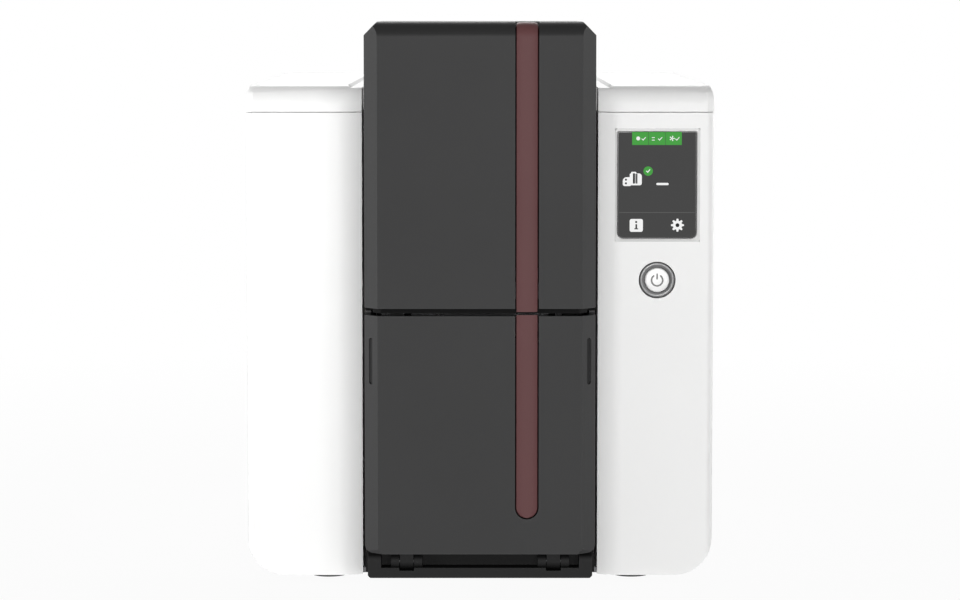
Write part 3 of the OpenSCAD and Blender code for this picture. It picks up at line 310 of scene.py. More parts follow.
finishes = {
    # material slot: its finish
    "white_plastic": plastic("whiteShell", (0.86, 0.86, 0.855), rough=0.42, grain=1800.0, depth=0.00001,
                             bumpAmount=0.12, vary=0.008, rub=0.1, rubColour=(0.9, 0.9, 0.895), dust=0.02,
                             specular=0.25),
    "light_panel": plastic("rearPanelWhite", (0.8, 0.8, 0.79), rough=0.55, grain=1500.0, depth=0.00003,
                           bumpAmount=0.35, vary=0.02, rub=0.15, dust=0.03),
    # the covers' colour falls to 0.15 below 25 mm and to 0.45 on upturned radii: painted shade
    "cover_plastic": plastic("darkCover", (0.029, 0.029, 0.0293), rough=0.6, grain=1900.0, vary=0.05,
                             rub=0.35, rubColour=(0.045, 0.045, 0.0455), dust=0.02, specular=0.13,
                             deep=("Z", 0.0252, 0.0248, 0.15), radii=0.45),
    "tower_plastic": plastic("towerShell", (0.024, 0.024, 0.0242), rough=0.55, grain=1500.0,
                             bumpAmount=0.3, vary=0.06, dust=0.02, specular=0.18),
    "inner_plastic": plastic("innerMoulding", (0.02, 0.02, 0.0205), rough=0.55, grain=1200.0,
                             depth=0.00003, bumpAmount=0.3, vary=0.08, dust=0.04, specular=0.3),
    "cassette_plastic": plastic("cassetteMoulding", (0.07, 0.07, 0.075), rough=0.5, grain=1300.0),
    "weight_plastic": plastic("weightMoulding", (0.09, 0.09, 0.095), rough=0.5, grain=1300.0),
    "slider_plastic": plastic("sliderBlue", (0.06, 0.17, 0.42), grain=1300.0),
    "pulley_plastic": plastic("naturalAcetal", (0.72, 0.7, 0.62), rough=0.4, grain=1000.0, vary=0.05),
    "board_green": plastic("boardLaminate", (0.015, 0.13, 0.05), rough=0.35, grain=700.0, depth=0.00004,
                           bumpAmount=0.4, vary=0.15),
    "ring_plastic": plastic("buttonRing", (0.15, 0.15, 0.152), rough=0.3, grain=1800.0),
    "button_plastic": plastic("buttonWhite", (0.86, 0.86, 0.855), rough=0.35, grain=1800.0, vary=0.01,
                              dust=0.0),
    "pan_steel": metal("panCoat", (0.09, 0.09, 0.095), rough=0.5, stretch=(1, 1, 1), grain=900.0,
                       depth=0.00003, vary=0.15, rub=0.6, metallic=0.0),
    "frame_steel": metal("zincSheet", (0.56, 0.57, 0.58), rough=0.34, stretch=(1, 12, 1), grain=260.0,
                         metallic=0.5),
    "bright_steel": metal("groundSteel", (0.62, 0.62, 0.63), rough=0.22, stretch=(1, 40, 40), grain=90.0,
                          metallic=0.8),
    "supply_metal": metal("foldedTin", (0.58, 0.58, 0.57), rough=0.36, stretch=(1, 1, 25), grain=200.0,
                          metallic=0.6),
    "bush_bronze": metal("sinteredBronze", (0.55, 0.36, 0.16), rough=0.4, stretch=(1, 1, 1), grain=1500.0,
                         depth=0.00003),
    "motor_metal": metal("motorCan", (0.3, 0.3, 0.31), rough=0.4, stretch=(30, 1, 1), grain=200.0,
                         metallic=0.6),
    "head_aluminium": metal("headSink", (0.62, 0.62, 0.63), rough=0.32, stretch=(30, 1, 1), grain=200.0,
                            metallic=0.6),
    "feet_rubber": rubber("footRubber", (0.025, 0.025, 0.025)),
    "roller_rubber": rubber("rollerRubber", (0.03, 0.03, 0.032), rough=0.6),
    "platen_rubber": rubber("platenRubber", (0.06, 0.06, 0.065), rough=0.5, grain=2600.0),
    "cleaning_blue": rubber("cleaningRubber", (0.06, 0.22, 0.5), rough=0.3, grain=2600.0),
    "belt_rubber": rubber("beltRubber", (0.02, 0.02, 0.02), rough=0.65, grain=900.0, depth=0.00006),
    "ribbon_roll": plastic("woundFilm", (0.07, 0.02, 0.09), rough=0.28, grain=2500.0, depth=0.00003,
                           bumpAmount=0.3, vary=0.25),
    "ribbon_film": plastic("dyeFilm", (0.62, 0.45, 0.04), rough=0.2, grain=2500.0, dust=0.01,
                           deep=("Y", 0.0096, 0.01, (0.42, 0.03, 0.18))),
    "screen_glass": plastic("screenGlass", (0.055, 0.055, 0.057), rough=0.12, grain=2600.0,
                            depth=0.000002, bumpAmount=0.02, vary=0.01, rub=0.0, dust=0.0),
    "red_window": plastic("smokedRed", (0.084, 0.033, 0.034), rough=0.55, grain=2400.0, depth=0.000002,
                          bumpAmount=0.05, vary=0.05, rub=0.1, dust=0.01, specular=0.15),
}
ownFinish = {
    # nodes whose finish differs from the rest of their slot; the hopper base and the feeder floor get
    # darker copies of their moulding as painted shade
    # a darker copy of the tower's plastic, darker still behind the lip: painted shade in the recess
    "hopper_base": plastic("paintedShadeBase", (0.014, 0.014, 0.0142), rough=0.62, grain=1500.0, bumpAmount=0.3,
                           vary=0.06, dust=0.02, specular=0.08, deep=("Y", -0.1837, -0.1828, 0.3)),
    "hinge_pins": metal("blackenedPin", (0.02, 0.02, 0.021), rough=0.45, stretch=(40, 1, 1), grain=200.0,
                        metallic=0.6),
    "feed_pulley": plastic("blackAcetal", (0.02, 0.02, 0.021), rough=0.4, grain=1000.0),
    # a near black copy of the moulding: painted shade where the floor shows inside the tower
    "feeder_floor": plastic("paintedShadeMoulding", (0.004, 0.004, 0.0041), rough=0.65, dust=0.01,
                            specular=0.04),
}
slotOf = {piece["node"]: piece["material_slot"] for piece in frame["record"]["subparts"]}
for name, part in nodes.items():
    part.data.materials.clear()
    part.data.materials.append(ownFinish.get(name) or finishes[slotOf[name]])
print("finishes:", len(finishes))


# copies of the moulded and folded pieces whose sharp edges are softened

softShells = {
    # node: body that it rides on, edge radius in mm
    "left_casing": ("chassis", 0.3), "right_casing": ("chassis", 0.3), "rear_panel": ("chassis", 0.4),
    "lid": ("lid", 0.3), "upper_cover": ("upper_cover", 0.4), "lower_cover": ("lower_cover", 0.4),
    "hopper_casing": ("chassis", 0.4), "hopper_base": ("chassis", 0.5),
    "feeder_casing": ("chassis", 0.4), "feeder_floor": ("chassis", 0.3),
    "output_tray": ("chassis", 0.3), "card_weight": ("card_weight", 0.4),
    "ribbon_cassette": ("chassis", 0.3), "power_inlet": ("chassis", 0.3),
    "lid_frame": ("lid", 0.3), "head_bracket": ("lid", 0.2), "print_head": ("print_head", 0.2),
    "card_bed": ("chassis", 0.2), "frame_left": ("chassis", 0.2), "frame_right": ("chassis", 0.2),
    "power_supply": ("chassis", 0.2), "fan_housing": ("chassis", 0.3), "base_pan": ("chassis", 0.3),
    "rubber_feet": ("chassis", 0.3), "thickness_slider": ("thickness_slider", 0.25),
}


def addObject(name, data):
    made = bpy.data.objects.new(name, data)
    bpy.context.scene.collection.objects.link(made)
    return made


def roundEdges(piece, edge, segments, angle):
    # a bevel of edge mm on edges sharper than the angle, with flat faces kept flat in the shading
    rounding = piece.modifiers.new("edges", "BEVEL")
    rounding.width = edge * mm
    rounding.segments = segments
    rounding.limit_method = "ANGLE"
    rounding.angle_limit = math.radians(angle)
    normals = piece.modifiers.new("normals", "WEIGHTED_NORMAL")
    normals.keep_sharp = True


def tidyMesh(mesh, merge=0.0, flat=0.0):
    # near points merged and flat faces joined where a CAD copy needs it, then faces turned outwards
    shape = bmesh.new()
    shape.from_mesh(mesh)
    if merge:
        bmesh.ops.remove_doubles(shape, verts=shape.verts, dist=merge)
        bmesh.ops.dissolve_limit(shape, angle_limit=math.radians(flat), verts=shape.verts,
                                 edges=shape.edges)
    bmesh.ops.recalc_face_normals(shape, faces=shape.faces)
    shape.to_mesh(mesh)
    shape.free()


softEdge = {"sharper": 32.0, "segments": 3, "merge": 1e-6, "flat": 0.5}   # degrees, steps, m, degrees


def softCopy(name, body, edge):
    # a merged copy of a node whose sharp edges get a small round, so they catch the light
    mesh = nodes[name].data.copy()
    mesh.name = name + ".soft"
    piece = addObject(name + ".soft", mesh)
    tidyMesh(mesh, softEdge["merge"], softEdge["flat"])
    mesh.polygons.foreach_set("use_smooth", np.ones(len(mesh.polygons), bool))
    roundEdges(piece, edge, softEdge["segments"], softEdge["sharper"])
    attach(piece, body)
    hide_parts(name)


for name, (body, edge) in softShells.items():
    softCopy(name, body, edge)
print("soft shells:", len(softShells))


# lofted and plated pieces

crease = {"smoothBelow": 38, "bevelAbove": 35, "segments": 2}   # degrees and steps


def loft(name, rings, material, body, slot=None, replaced=(), closed=False, smooth=True, edge=0.0):
    # surface through k rings of n points each in mm: point (i, j) joins (i + 1, j) and (i, j + 1), and
    # the ends are capped, or joined when closed
    rings = np.asarray(rings, float) * mm
    k, n = rings.shape[:2]
    spans = k if closed else k - 1
    row = np.arange(spans)[:, None]
    col = np.arange(n)[None, :]
    after = (row + 1) % k
    beside = (col + 1) % n
    quads = np.stack(np.broadcast_arrays(row * n + col, row * n + beside, after * n + beside,
                                         after * n + col), -1).reshape(-1, 4)
    faces = quads.tolist()
    if not closed:
        faces.append(list(range(n))[::-1])
        faces.append(list(range((k - 1) * n, k * n)))
    mesh = bpy.data.meshes.new(name)
    mesh.from_pydata(rings.reshape(-1, 3).tolist(), [], faces)
    tidyMesh(mesh)
    piece = addObject(name, mesh)
    mesh.materials.append(material)
    mesh.polygons.foreach_set("use_smooth", np.full(len(mesh.polygons), smooth))
    if edge:
        roundEdges(piece, edge, crease["segments"], crease["bevelAbove"])
    elif smooth:
        mesh.set_sharp_from_angle(angle=math.radians(crease["smoothBelow"]))
    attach(piece, body)
    if replaced:
        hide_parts(*replaced)


def rounded(width, height, radius, count=8):
    # rounded rectangle about the origin: four quarter arcs, x = corner + r cos a and y = corner + r sin a;
    # the radius may differ by corner, from the lower left, anticlockwise
    radii = [radius] * 4 if isinstance(radius, (int, float)) else radius
    corners = [(-1, -1, 180), (1, -1, 270), (1, 1, 0), (-1, 1, 90)]
    points = []
    for (sideX, sideY, start), r in zip(corners, radii):
        a = np.radians(start + np.linspace(0, 90, count))
        x = sideX * (width / 2 - r) + r * np.cos(a)
        y = sideY * (height / 2 - r) + r * np.sin(a)
        points.append(np.stack([x, y], 1))
    return np.concatenate(points)


def circle(radius, count=48):
    # x = r cos a, y = r sin a
    a = np.linspace(0, 2 * np.pi, count, endpoint=False)
    return np.stack([radius * np.cos(a), radius * np.sin(a)], 1)


def onFront(outline, x, z, y):
    # an outline in the plane of the front, at depth y
    outline = np.asarray(outline, float)
    return np.stack([x + outline[:, 0], np.full(len(outline), float(y)), z + outline[:, 1]], 1)


def onSide(outline, y, z, x):
    # an outline in the plane of a side, at width x
    outline = np.asarray(outline, float)
    return np.stack([np.full(len(outline), float(x)), y + outline[:, 0], z + outline[:, 1]], 1)


def facePlate(name, outline, x, z, front, back, material, body, **more):
    # flat plate between two depths
    rings = [onFront(outline, x, z, front), onFront(outline, x, z, back)]
    loft(name, rings, material, body, **more)


def nodeBox(name):
    # lower and upper corner of a node in mm
    low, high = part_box(name)
    return np.array(low) / mm, np.array(high) / mm


# the window strip: a thin crowned strip on a dark bed in each cover; the bed's darkness is a painted shade
# in the gap round the strip

strip = {
    "half": 4.3, "crown": 0.25, "tuck": 0.2, "depth": 1.2, "sunk": 0.15,      # section in mm
    "topRound": 6.5, "back": 2.6, "hang": 1.5, "rise": 0.7, "endGap": 0.35,   # path in mm
    "bedDepth": 0.8, "bedGap": 0.02,
    "acrossSteps": 9, "straightSteps": 11, "turnSteps": 13, "endSteps": 14, "endStart": 4,
}
coverLow, coverHigh = nodeBox("upper_cover")
upperLow, upperHigh = nodeBox("upper_window")
lowerLow, lowerHigh = nodeBox("lower_window")
stripX = (upperLow[0] + upperHigh[0]) / 2
frontY = coverLow[1]
towerTop = coverHigh[2]


def stripSection(half):
    # across the strip: a crowned face, height falling with the square of the distance from the middle
    x = np.linspace(-half, half, strip["acrossSteps"])
    out = strip["crown"] * (1 - (x / strip["half"]) ** 2) - strip["crown"]
    out[[0, -1]] -= strip["tuck"]
    face = np.stack([x, out], 1)
    back = np.array([[half, -strip["depth"]], [-half, -strip["depth"]]])
    return np.concatenate([face, back])


def bedSection(half):
    # across the bed behind the strip, a rectangle as wide as the slot
    near, far = -strip["depth"], -strip["depth"] - strip["bedDepth"]
    return np.array([[-half, near], [half, near], [half, far], [-half, far]])


def upperStrip(name, section, low, material, replaced=()):
    # path up the front, a quarter turn over the top edge with y = centre - r cos a and
    # z = centre + r sin a, then back along the top
    radius = strip["topRound"] - strip["sunk"]
    steps = strip["straightSteps"]
    turn = np.radians(np.linspace(0, 90, strip["turnSteps"]))
    turnY = frontY + strip["topRound"]
    turnZ = towerTop - strip["topRound"]
    y = np.concatenate([np.full(steps, frontY + strip["sunk"]), turnY - radius * np.cos(turn),
                        [turnY + strip["back"]]])
    z = np.concatenate([np.linspace(low, turnZ, steps, endpoint=False), turnZ + radius * np.sin(turn),
                        [towerTop - strip["sunk"]]])
    tilt = np.concatenate([np.zeros(steps), turn, [np.pi / 2]])
    out = section[None, :, 1]
    rings = np.stack([np.broadcast_to(stripX + section[:, 0], (len(y), len(section))),
                      y[:, None] - out * np.cos(tilt)[:, None],
                      z[:, None] + out * np.sin(tilt)[:, None]], 2)
    loft(name, rings, material, "upper_cover", "red_window", replaced)


def lowerStrip(name, sectionOf, radius, high, material, replaced=()):
    # half width follows a circle at the round lower end: half = r sin a at the height centre - r cos a
    centre = lowerLow[2] + strip["half"] + strip["endGap"]
    a = np.radians(np.linspace(strip["endStart"], 90, strip["endSteps"]))
    z = np.concatenate([centre - radius * np.cos(a), [high]])
    half = np.concatenate([radius * np.sin(a), [radius]])
    rings = []
    for level, width in zip(z, half):
        section = sectionOf(width)
        rings.append(np.stack([stripX + section[:, 0], frontY + strip["sunk"] - section[:, 1],
                               np.full(len(section), level)], 1))
    loft(name, rings, material, "lower_cover", "red_window", replaced)


bedHalf = (lowerHigh[0] - lowerLow[0]) / 2 - strip["bedGap"]
red = finishes["red_window"]
# near black red bed behind each strip, where there is only shade: painted shade that darkens the gap round
# the strip
paintedShadeBed = plastic("paintedShadeRed", (0.02, 0.004, 0.004), rough=0.6, grain=2400.0, depth=0.000002,
                 bumpAmount=0.05, vary=0.05, rub=0.0, dust=0.0, specular=0.05)
upperStrip("windowUpper", stripSection(strip["half"]), upperLow[2] - strip["hang"], red, ["upper_window"])
upperStrip("windowUpperBed", bedSection(bedHalf), upperLow[2], paintedShadeBed)
lowerStrip("windowLower", stripSection, strip["half"], lowerHigh[2] + strip["rise"], red, ["lower_window"])
lowerStrip("windowLowerBed", bedSection, bedHalf, lowerHigh[2], paintedShadeBed)
print("window strip placed")


# the touch screen: black glass with a lit area, its pale rim and the picture it shows

display = {
    # the lit area in mm, its shift from the middle of the opening, its corner radii, the black border
    # and how far the module behind reaches past the opening
    "width": 34.8, "height": 46.8, "shift": -0.22, "lowerRadius": 2.6, "upperRadius": 0.4,
    "border": 0.45, "marginInner": 2.0, "marginOuter": 1.0, "marginEnd": 2.0,
    # depths in mm behind the casing's face or the glass
    "glass": 0.4, "proud": 0.05, "bevel": 0.15, "back": 5.5, "lit": 0.08, "litBack": 0.2,
    "layer": 0.06, "seat": 0.1,
    # the light: scale of the pixel weave, its darkest share; and the least corner radius in mm
    "weave": 3000.0, "dim": 0.94, "leastRadius": 0.2,
}
screenLow, screenHigh = nodeBox("touch_screen")
bodyY = nodeBox("left_casing")[0][1]
glassY = bodyY + display["glass"]
openLow = screenLow + np.array([display["marginInner"], 0, display["marginEnd"]])
openHigh = screenHigh - np.array([display["marginOuter"], 0, display["marginEnd"]])
openX = (openLow[0] + openHigh[0]) / 2
screenX = openX + display["shift"]
screenZ = (openLow[2] + openHigh[2]) / 2


def glowing(name, colour):
    # lit display colour: plain emission under a thin gloss, dimmed a little in a faint pixel weave
    made, tree, shader = newMaterial(name)
    surface = place(tree, grainGroup, Scale=display["weave"])
    dimmer = tuple(c * display["dim"] for c in colour)
    tone = blendColour(tree, ramp(tree, surface.outputs["Fine"]), dimmer, colour)
    tree.links.new(tone, shader.inputs["Emission Color"])
    shader.inputs["Emission Strength"].default_value = 1.0
    shader.inputs["Base Color"].default_value = (0.01, 0.01, 0.01, 1)
    shader.inputs["Roughness"].default_value = 0.5
    shader.inputs["Specular IOR Level"].default_value = 0.05
    return made


displayGrey = glowing("displayGrey", (0.044, 0.044, 0.044))
displayDark = glowing("displayDark", (0.004, 0.004, 0.004))
displayGreen = glowing("displayGreen", (0.05, 0.34, 0.045))
displayWhite = glowing("displayWhite", (0.9, 0.9, 0.9))
displayLine = glowing("displayLine", (0.095, 0.095, 0.095))
markBlack = plastic("printedMark", (0.02, 0.02, 0.021), rough=0.4, grain=1500.0, depth=0.000005,
                    bumpAmount=0.05, vary=0.05, rub=0.0, dust=0.0)
glassBlack = plastic("blackGlass", (0.006, 0.006, 0.0062), rough=0.2, grain=2600.0, depth=0.000002,
                     bumpAmount=0.02, vary=0.01, rub=0.0, dust=0.0, specular=0.2)
rimPale = plastic("screenRim", (0.62, 0.62, 0.615), rough=0.35, grain=1800.0, depth=0.00001,
                  bumpAmount=0.1, vary=0.01, rub=0.1, dust=0.0)


def displayOutline(grow):
    # the lit area's outline, grown evenly
    low = max(display["lowerRadius"] + grow, display["leastRadius"])
    high = max(display["upperRadius"] + grow, display["leastRadius"])
    return rounded(display["width"] + 2 * grow, display["height"] + 2 * grow, [low, low, high, high])


def glassPiece():
    # black glass plate with the lit area set a little inside it
    steps = ((-display["bevel"], glassY - display["proud"]), (0.0, glassY + display["seat"]),
             (0.0, bodyY + display["back"]))
    rings = [onFront(displayOutline(grow), screenX, screenZ, y) for grow, y in steps]
    loft("screenGlass", rings, glassBlack, "chassis", "screen_glass", ["touch_screen"])
    facePlate("screenLit", displayOutline(-display["border"]), screenX, screenZ, glassY - display["lit"],
              glassY + display["litBack"], displayGrey, "chassis", slot="screen_glass", smooth=False)


rim = {
    # mm: overlap on the casing, play in the opening, rounds, and rise and depths from the casing's face
    "overlap": 0.35, "play": 0.05, "outerRadius": 1.15, "holeRadius": 0.1, "round": 0.06,
    "lip": 0.015, "face": 0.005, "back": 2.5, "glassPlay": 0.04, "ridge": 0.35, "ridgeRise": 0.16,
    "ridgeFoot": 0.1,
}


def screenRim():
    # pale raised frame: it fills the casing's opening and slopes out over the casing's face
    width = openHigh[0] - openLow[0]
    height = openHigh[2] - openLow[2]
    flange = rounded(width + 2 * rim["overlap"], height + 2 * rim["overlap"], rim["outerRadius"])
    hole = rounded(width - 2 * rim["play"], height - 2 * rim["play"], rim["holeRadius"])
    inner = displayOutline(rim["glassPlay"])
    ridge = displayOutline(rim["ridge"])
    steps = ((flange, openX, -rim["lip"]), (flange, openX, -rim["face"]), (hole, openX, -rim["face"]),
             (hole, openX, rim["back"]), (inner, screenX, rim["back"]), (inner, screenX, rim["ridgeFoot"]),
             (ridge, screenX, -rim["ridgeRise"]))
    rings = [onFront(outline, x, screenZ, bodyY + y) for outline, x, y in steps]
    loft("screenRim", rings, rimPale, "chassis", slot="screen_glass", closed=True, edge=rim["round"])


def stroke(points, width, count=10):
    # outline around a line of points, each point moved half a width along its normal to either side,
    # with a half circle at both ends
    points = np.asarray(points, float)
    step = np.diff(points, axis=0)
    angle = np.arctan2(step[:, 1], step[:, 0])
    side = np.stack([-np.sin(angle), np.cos(angle)], 1) * width / 2
    across = np.vstack([side[:1], (side[1:] + side[:-1]) / 2, side[-1:]])
    if len(points) > 2:
        scale = (width / 2) / np.linalg.norm(across, axis=1, keepdims=True)
        across = across * scale * np.clip(scale, 1, 1.6)   # mitred at bends
    start = angle[0] + np.pi / 2 + np.linspace(0, np.pi, count)[1:-1]
    end = angle[-1] - np.pi / 2 + np.linspace(0, np.pi, count)[1:-1]
    firstCap = points[0] + width / 2 * np.stack([np.cos(start), np.sin(start)], 1)
    lastCap = points[-1] + width / 2 * np.stack([np.cos(end), np.sin(end)], 1)
    return np.vstack([points - across, lastCap, (points + across)[::-1], firstCap])


def gearOutline(radius, depth, teeth=8, count=96):
    # radius follows a squared-off cosine: radius - depth / 2 + depth / 2 * tanh(4 cos(teeth a))
    a = np.linspace(0, 2 * np.pi, count, endpoint=False)
    r = radius - depth / 2 + depth / 2 * np.tanh(4 * np.cos(teeth * a))
    return np.stack([r * np.cos(a), r * np.sin(a)], 1)


tick = np.array([(-0.9, 0.0), (-0.25, -0.6), (0.9, 0.75)])
tileTall = 5.7
tileRow = display["height"] / 2 - 0.15 - tileTall / 2
tileTick = stroke(tick * 0.9, 0.32)
tileDash = stroke([(-0.6, 0), (0.4, 0)], 0.3)
marks = {
    # outline, place across and up from the middle of the screen in mm, colour, layer
    "tile0": (rounded(7.1, tileTall, 0.12, 3), -7.4, tileRow, displayGreen, 1),
    "tile1": (rounded(7.3, tileTall, 0.12, 3), -0.05, tileRow, displayGreen, 1),
    "tile2": (rounded(7.0, tileTall, 0.12, 3), 7.25, tileRow, displayGreen, 1),
    "tileTick0": (tileTick, -5.9, tileRow - 0.2, displayWhite, 2),
    "tileTick1": (tileTick, 1.3, tileRow - 0.2, displayWhite, 2),
    "tileTick2": (tileTick, 8.8, tileRow - 0.2, displayWhite, 2),
    "tileDot": (circle(0.85, 24), -8.3, tileRow, displayWhite, 2),
    "tileDash0": (tileDash, -1.6, tileRow - 0.75, displayWhite, 2),
    "tileDash1": (tileDash, -1.6, tileRow + 0.35, displayWhite, 2),
    "tileStar": (gearOutline(1.15, 0.9, 5, 60), 6.5, tileRow, displayWhite, 2),
    # printer and card picture with the ready disc
    "pictureBody": (rounded(5.3, 5.2, [0.9, 0.9, 1.3, 0.5], 5), -9.3, 2.5, displayWhite, 1),
    "pictureHead": (rounded(2.3, 1.2, 0.4, 5), -10.2, 5.2, displayWhite, 1),
    "pictureCard": (rounded(0.9, 4.5, 0.2, 5), -10.1, 2.9, displayDark, 2),
    "pictureEdge": (rounded(0.9, 4.3, 0.2, 5), -9.0, 2.8, displayLine, 2),
    "pictureTray": (rounded(3.6, 3.9, [0.9, 0.5, 0.4, 1.7], 6), -13.2, 1.5, displayWhite, 1),
    "pictureDot0": (circle(0.45, 20), -13.6, 2.35, displayDark, 2),
    "pictureDot1": (circle(0.45, 20), -13.6, 0.75, displayDark, 2),
    "readyDisc": (circle(2.05), -3.9, 6.1, displayGreen, 1),
    "readyTick": (stroke(tick * 0.8, 0.42), -3.9, 6.1, displayWhite, 2),
    "statusBar": (stroke([(-2.2, 0), (2.2, 0)], 1.0), 2.4, 0.45, displayWhite, 1),
    "divider": (rounded(display["width"] - 1.6, 0.3, 0.1, 3), 0.0, -12.05, displayLine, 1),
    # information and settings marks
    "infoTile": (rounded(5.8, 5.65, 0.85), -9.0, -17.7, displayWhite, 1),
    "infoStem": (rounded(0.75, 2.1, 0.15, 4), -9.0, -18.2, displayGrey, 2),
    "infoFoot": (rounded(1.7, 0.45, 0.1, 4), -9.0, -19.2, displayGrey, 2),
    "infoDot": (circle(0.48, 20), -9.05, -16.2, displayGrey, 2),
    "gearMark": (gearOutline(2.85, 0.85), 9.05, -17.6, displayWhite, 1),
    "gearHole": (circle(0.85, 32), 9.05, -17.6, displayDark, 2),
}


def screenPicture():
    # thin raised plates on the lit area, one layer over the other
    back = glassY + display["seat"]
    for name, (outline, across, up, colour, layer) in marks.items():
        front = glassY - display["proud"] - display["layer"] * layer
        facePlate(name, outline, screenX + across, screenZ + up, front, back, colour, "chassis",
                  slot="screen_glass", smooth=False)


# the power button: ring, cap and mark

button = {
    # (radius, depth behind the casing's face) in mm: a rounded outer lip and a dish to the cap, and
    # a flat cap with a rolled edge
    "ring": [[7.75, 3.0], [7.75, 0.25], [7.6, -0.02], [7.3, -0.16], [6.6, -0.1], [5.9, 0.08],
             [5.62, 0.3], [5.5, 0.6], [5.5, 3.0]],
    "cap": [[0.02, -0.08], [4.6, -0.06], [5.0, 0.0], [5.25, 0.2], [5.35, 0.5], [5.35, 5.4]],
    "steps": 96,
    # the mark: arc radius, half its opening in degrees, line width, ends of the bar, drop and rise
    "arc": 2.45, "opening": 38, "line": 0.72, "bar": [(0, 0.7), (0, 2.7)], "drop": 0.1, "rise": 0.14,
    "seat": 0.1,
}
buttonLow, buttonHigh = nodeBox("power_button")
buttonX = (buttonLow[0] + buttonHigh[0]) / 2
buttonZ = (buttonLow[2] + buttonHigh[2]) / 2


def buttonTurned(name, profile, slot, body, replaced, closed=False):
    # x = r cos a, z = r sin a about the button's axis, at the profile's depths
    profile = np.array(profile)
    a = np.linspace(0, 2 * np.pi, button["steps"], endpoint=False)
    rings = np.stack([buttonX + profile[:, :1] * np.cos(a),
                      bodyY + np.repeat(profile[:, 1:], button["steps"], 1),
                      buttonZ + profile[:, :1] * np.sin(a)], 2)
    loft(name, rings, finishes[slot], body, slot, [replaced], closed=closed)


def powerMark():
    # an open arc and a bar, both as round-ended strokes
    a = np.radians(90 + np.linspace(button["opening"], 360 - button["opening"], 60))
    arc = np.stack([button["arc"] * np.cos(a), button["arc"] * np.sin(a)], 1)
    for name, points in (("powerArc", arc), ("powerBar", button["bar"])):
        facePlate(name, stroke(points, button["line"]), buttonX, buttonZ - button["drop"],
                  bodyY - button["rise"], bodyY + button["seat"], markBlack, "power_button",
                  slot="button_plastic", smooth=False)


glassPiece()
screenRim()
screenPicture()
buttonTurned("buttonRing", button["ring"], "ring_plastic", "chassis", "button_ring", closed=True)
buttonTurned("buttonCap", button["cap"], "button_plastic", "power_button", "power_button")
powerMark()
print("screen and button placed")


# turned and built details

def turned(name, profile, axis, centre, material, body, count=40, socket=0.0, **more):
    # (radius, place) profile turned about an axis along x or y: across = r cos a, up = r sin a. A socket
    # makes the last two rings hexagonal: r = half / cos(angle from the nearest flat)
    profile = np.asarray(profile, float)
    a = np.linspace(0, 2 * np.pi, count, endpoint=False)
    radius = np.repeat(profile[:, :1], count, 1)
    if socket:
        flat = (a + np.pi / 6) % (np.pi / 3) - np.pi / 6
        radius[-2:] = socket / np.cos(flat)
    along = np.repeat(profile[:, 1:], count, 1)
    across = centre[0] + radius * np.cos(a)
    up = centre[1] + radius * np.sin(a)
    order = (along, across, up) if axis == "x" else (across, along, up)
    loft(name, np.stack(order, 2), material, body, **more)


def middleOf(name):
    low, high = nodeBox(name)
    return (low + high) / 2


screw = {
    # pan head with a hexagonal socket, mm, and its dome as shares of the radius and the height; then
    # the places of those on the frames from the motor, the deck and two rollers
    "radius": 3.0, "height": 1.5, "across": 1.25, "depth": 1.0, "seat": 0.5,
    "neck": 0.6, "dome": ((1.0, 0.0), (1.0, 0.45), (0.86, 0.85), (0.62, 1.0)),
    "motorSpread": 15, "deckDrop": 26, "frontAhead": 6, "rearBehind": 36,
}


def screwPieces():
    # four on the rear panel and eight on the frames
    low, high = nodeBox("screws")
    r, h = screw["radius"], screw["height"]

    def head(name, axis, side, base, centre):
        # under the head, up its side and dome, over the flat top and down the socket
        steps = ([(screw["neck"] * r, -screw["seat"])] + [(a * r, b * h) for a, b in screw["dome"]]
                 + [(screw["across"], h), (screw["across"], h - screw["depth"])])
        profile = [(radius, base + side * step) for radius, step in steps]
        replaced = ["screws"] if name == "screw0" else []
        turned(name, profile, axis, centre, finishes["bright_steel"], "chassis", socket=screw["across"],
               slot="bright_steel", replaced=replaced)

    rear = [(x, z) for x in (low[0] + r, high[0] - r) for z in (low[2] + r, high[2] - r)]
    for index, centre in enumerate(rear):
        head("screw%d" % index, "y", 1, high[1] - h, centre)
    motorY, motorZ = middleOf("drive_motor")[1:]
    frameOut = nodeBox("frame_right")[1][0]
    row = nodeBox("feeder_floor")[1][2] - screw["deckDrop"]
    places = [(motorY - screw["motorSpread"], motorZ / 2), (motorY + screw["motorSpread"], motorZ / 2),
              (middleOf("front_roller")[1] - screw["frontAhead"], row),
              (middleOf("rear_roller")[1] + screw["rearBehind"], row)]
    for index, centre in enumerate(places):
        head("screwLeft%d" % index, "x", -1, -frameOut, centre)
        head("screwRight%d" % index, "x", 1, frameOut, centre)


port = {
    # sockets: start and end from the board's edge and number of contacts; sizes in mm
    "sockets": {"network": (0.0, 13.0, 8), "serial": (16.0, 28.0, 4)},
    "z": 42.0, "tall": 16.0, "wall": 2.0, "rise": 3.0, "plate": 0.3, "liner": 0.35, "depth": 9.4,
    "facePlay": 0.1, "play": 0.04, "seat": 0.02, "corner": 0.3, "mouthCorner": 0.4, "round": 0.08,
    "backShare": 0.98, "backNear": 0.1, "backFar": 0.3, "tongueCorner": 0.4, "tongueRound": 0.15,
    "tongueTall": 3.0, "tongueUp": 1.6, "tongueTip": 2.0, "tongueRoot": 9.3, "tongueSide": 1.0,
    "pinWide": 0.45, "pinTall": 0.3, "pinTip": 2.6, "pinRoot": 9.2, "pinDrop": 0.05,
}


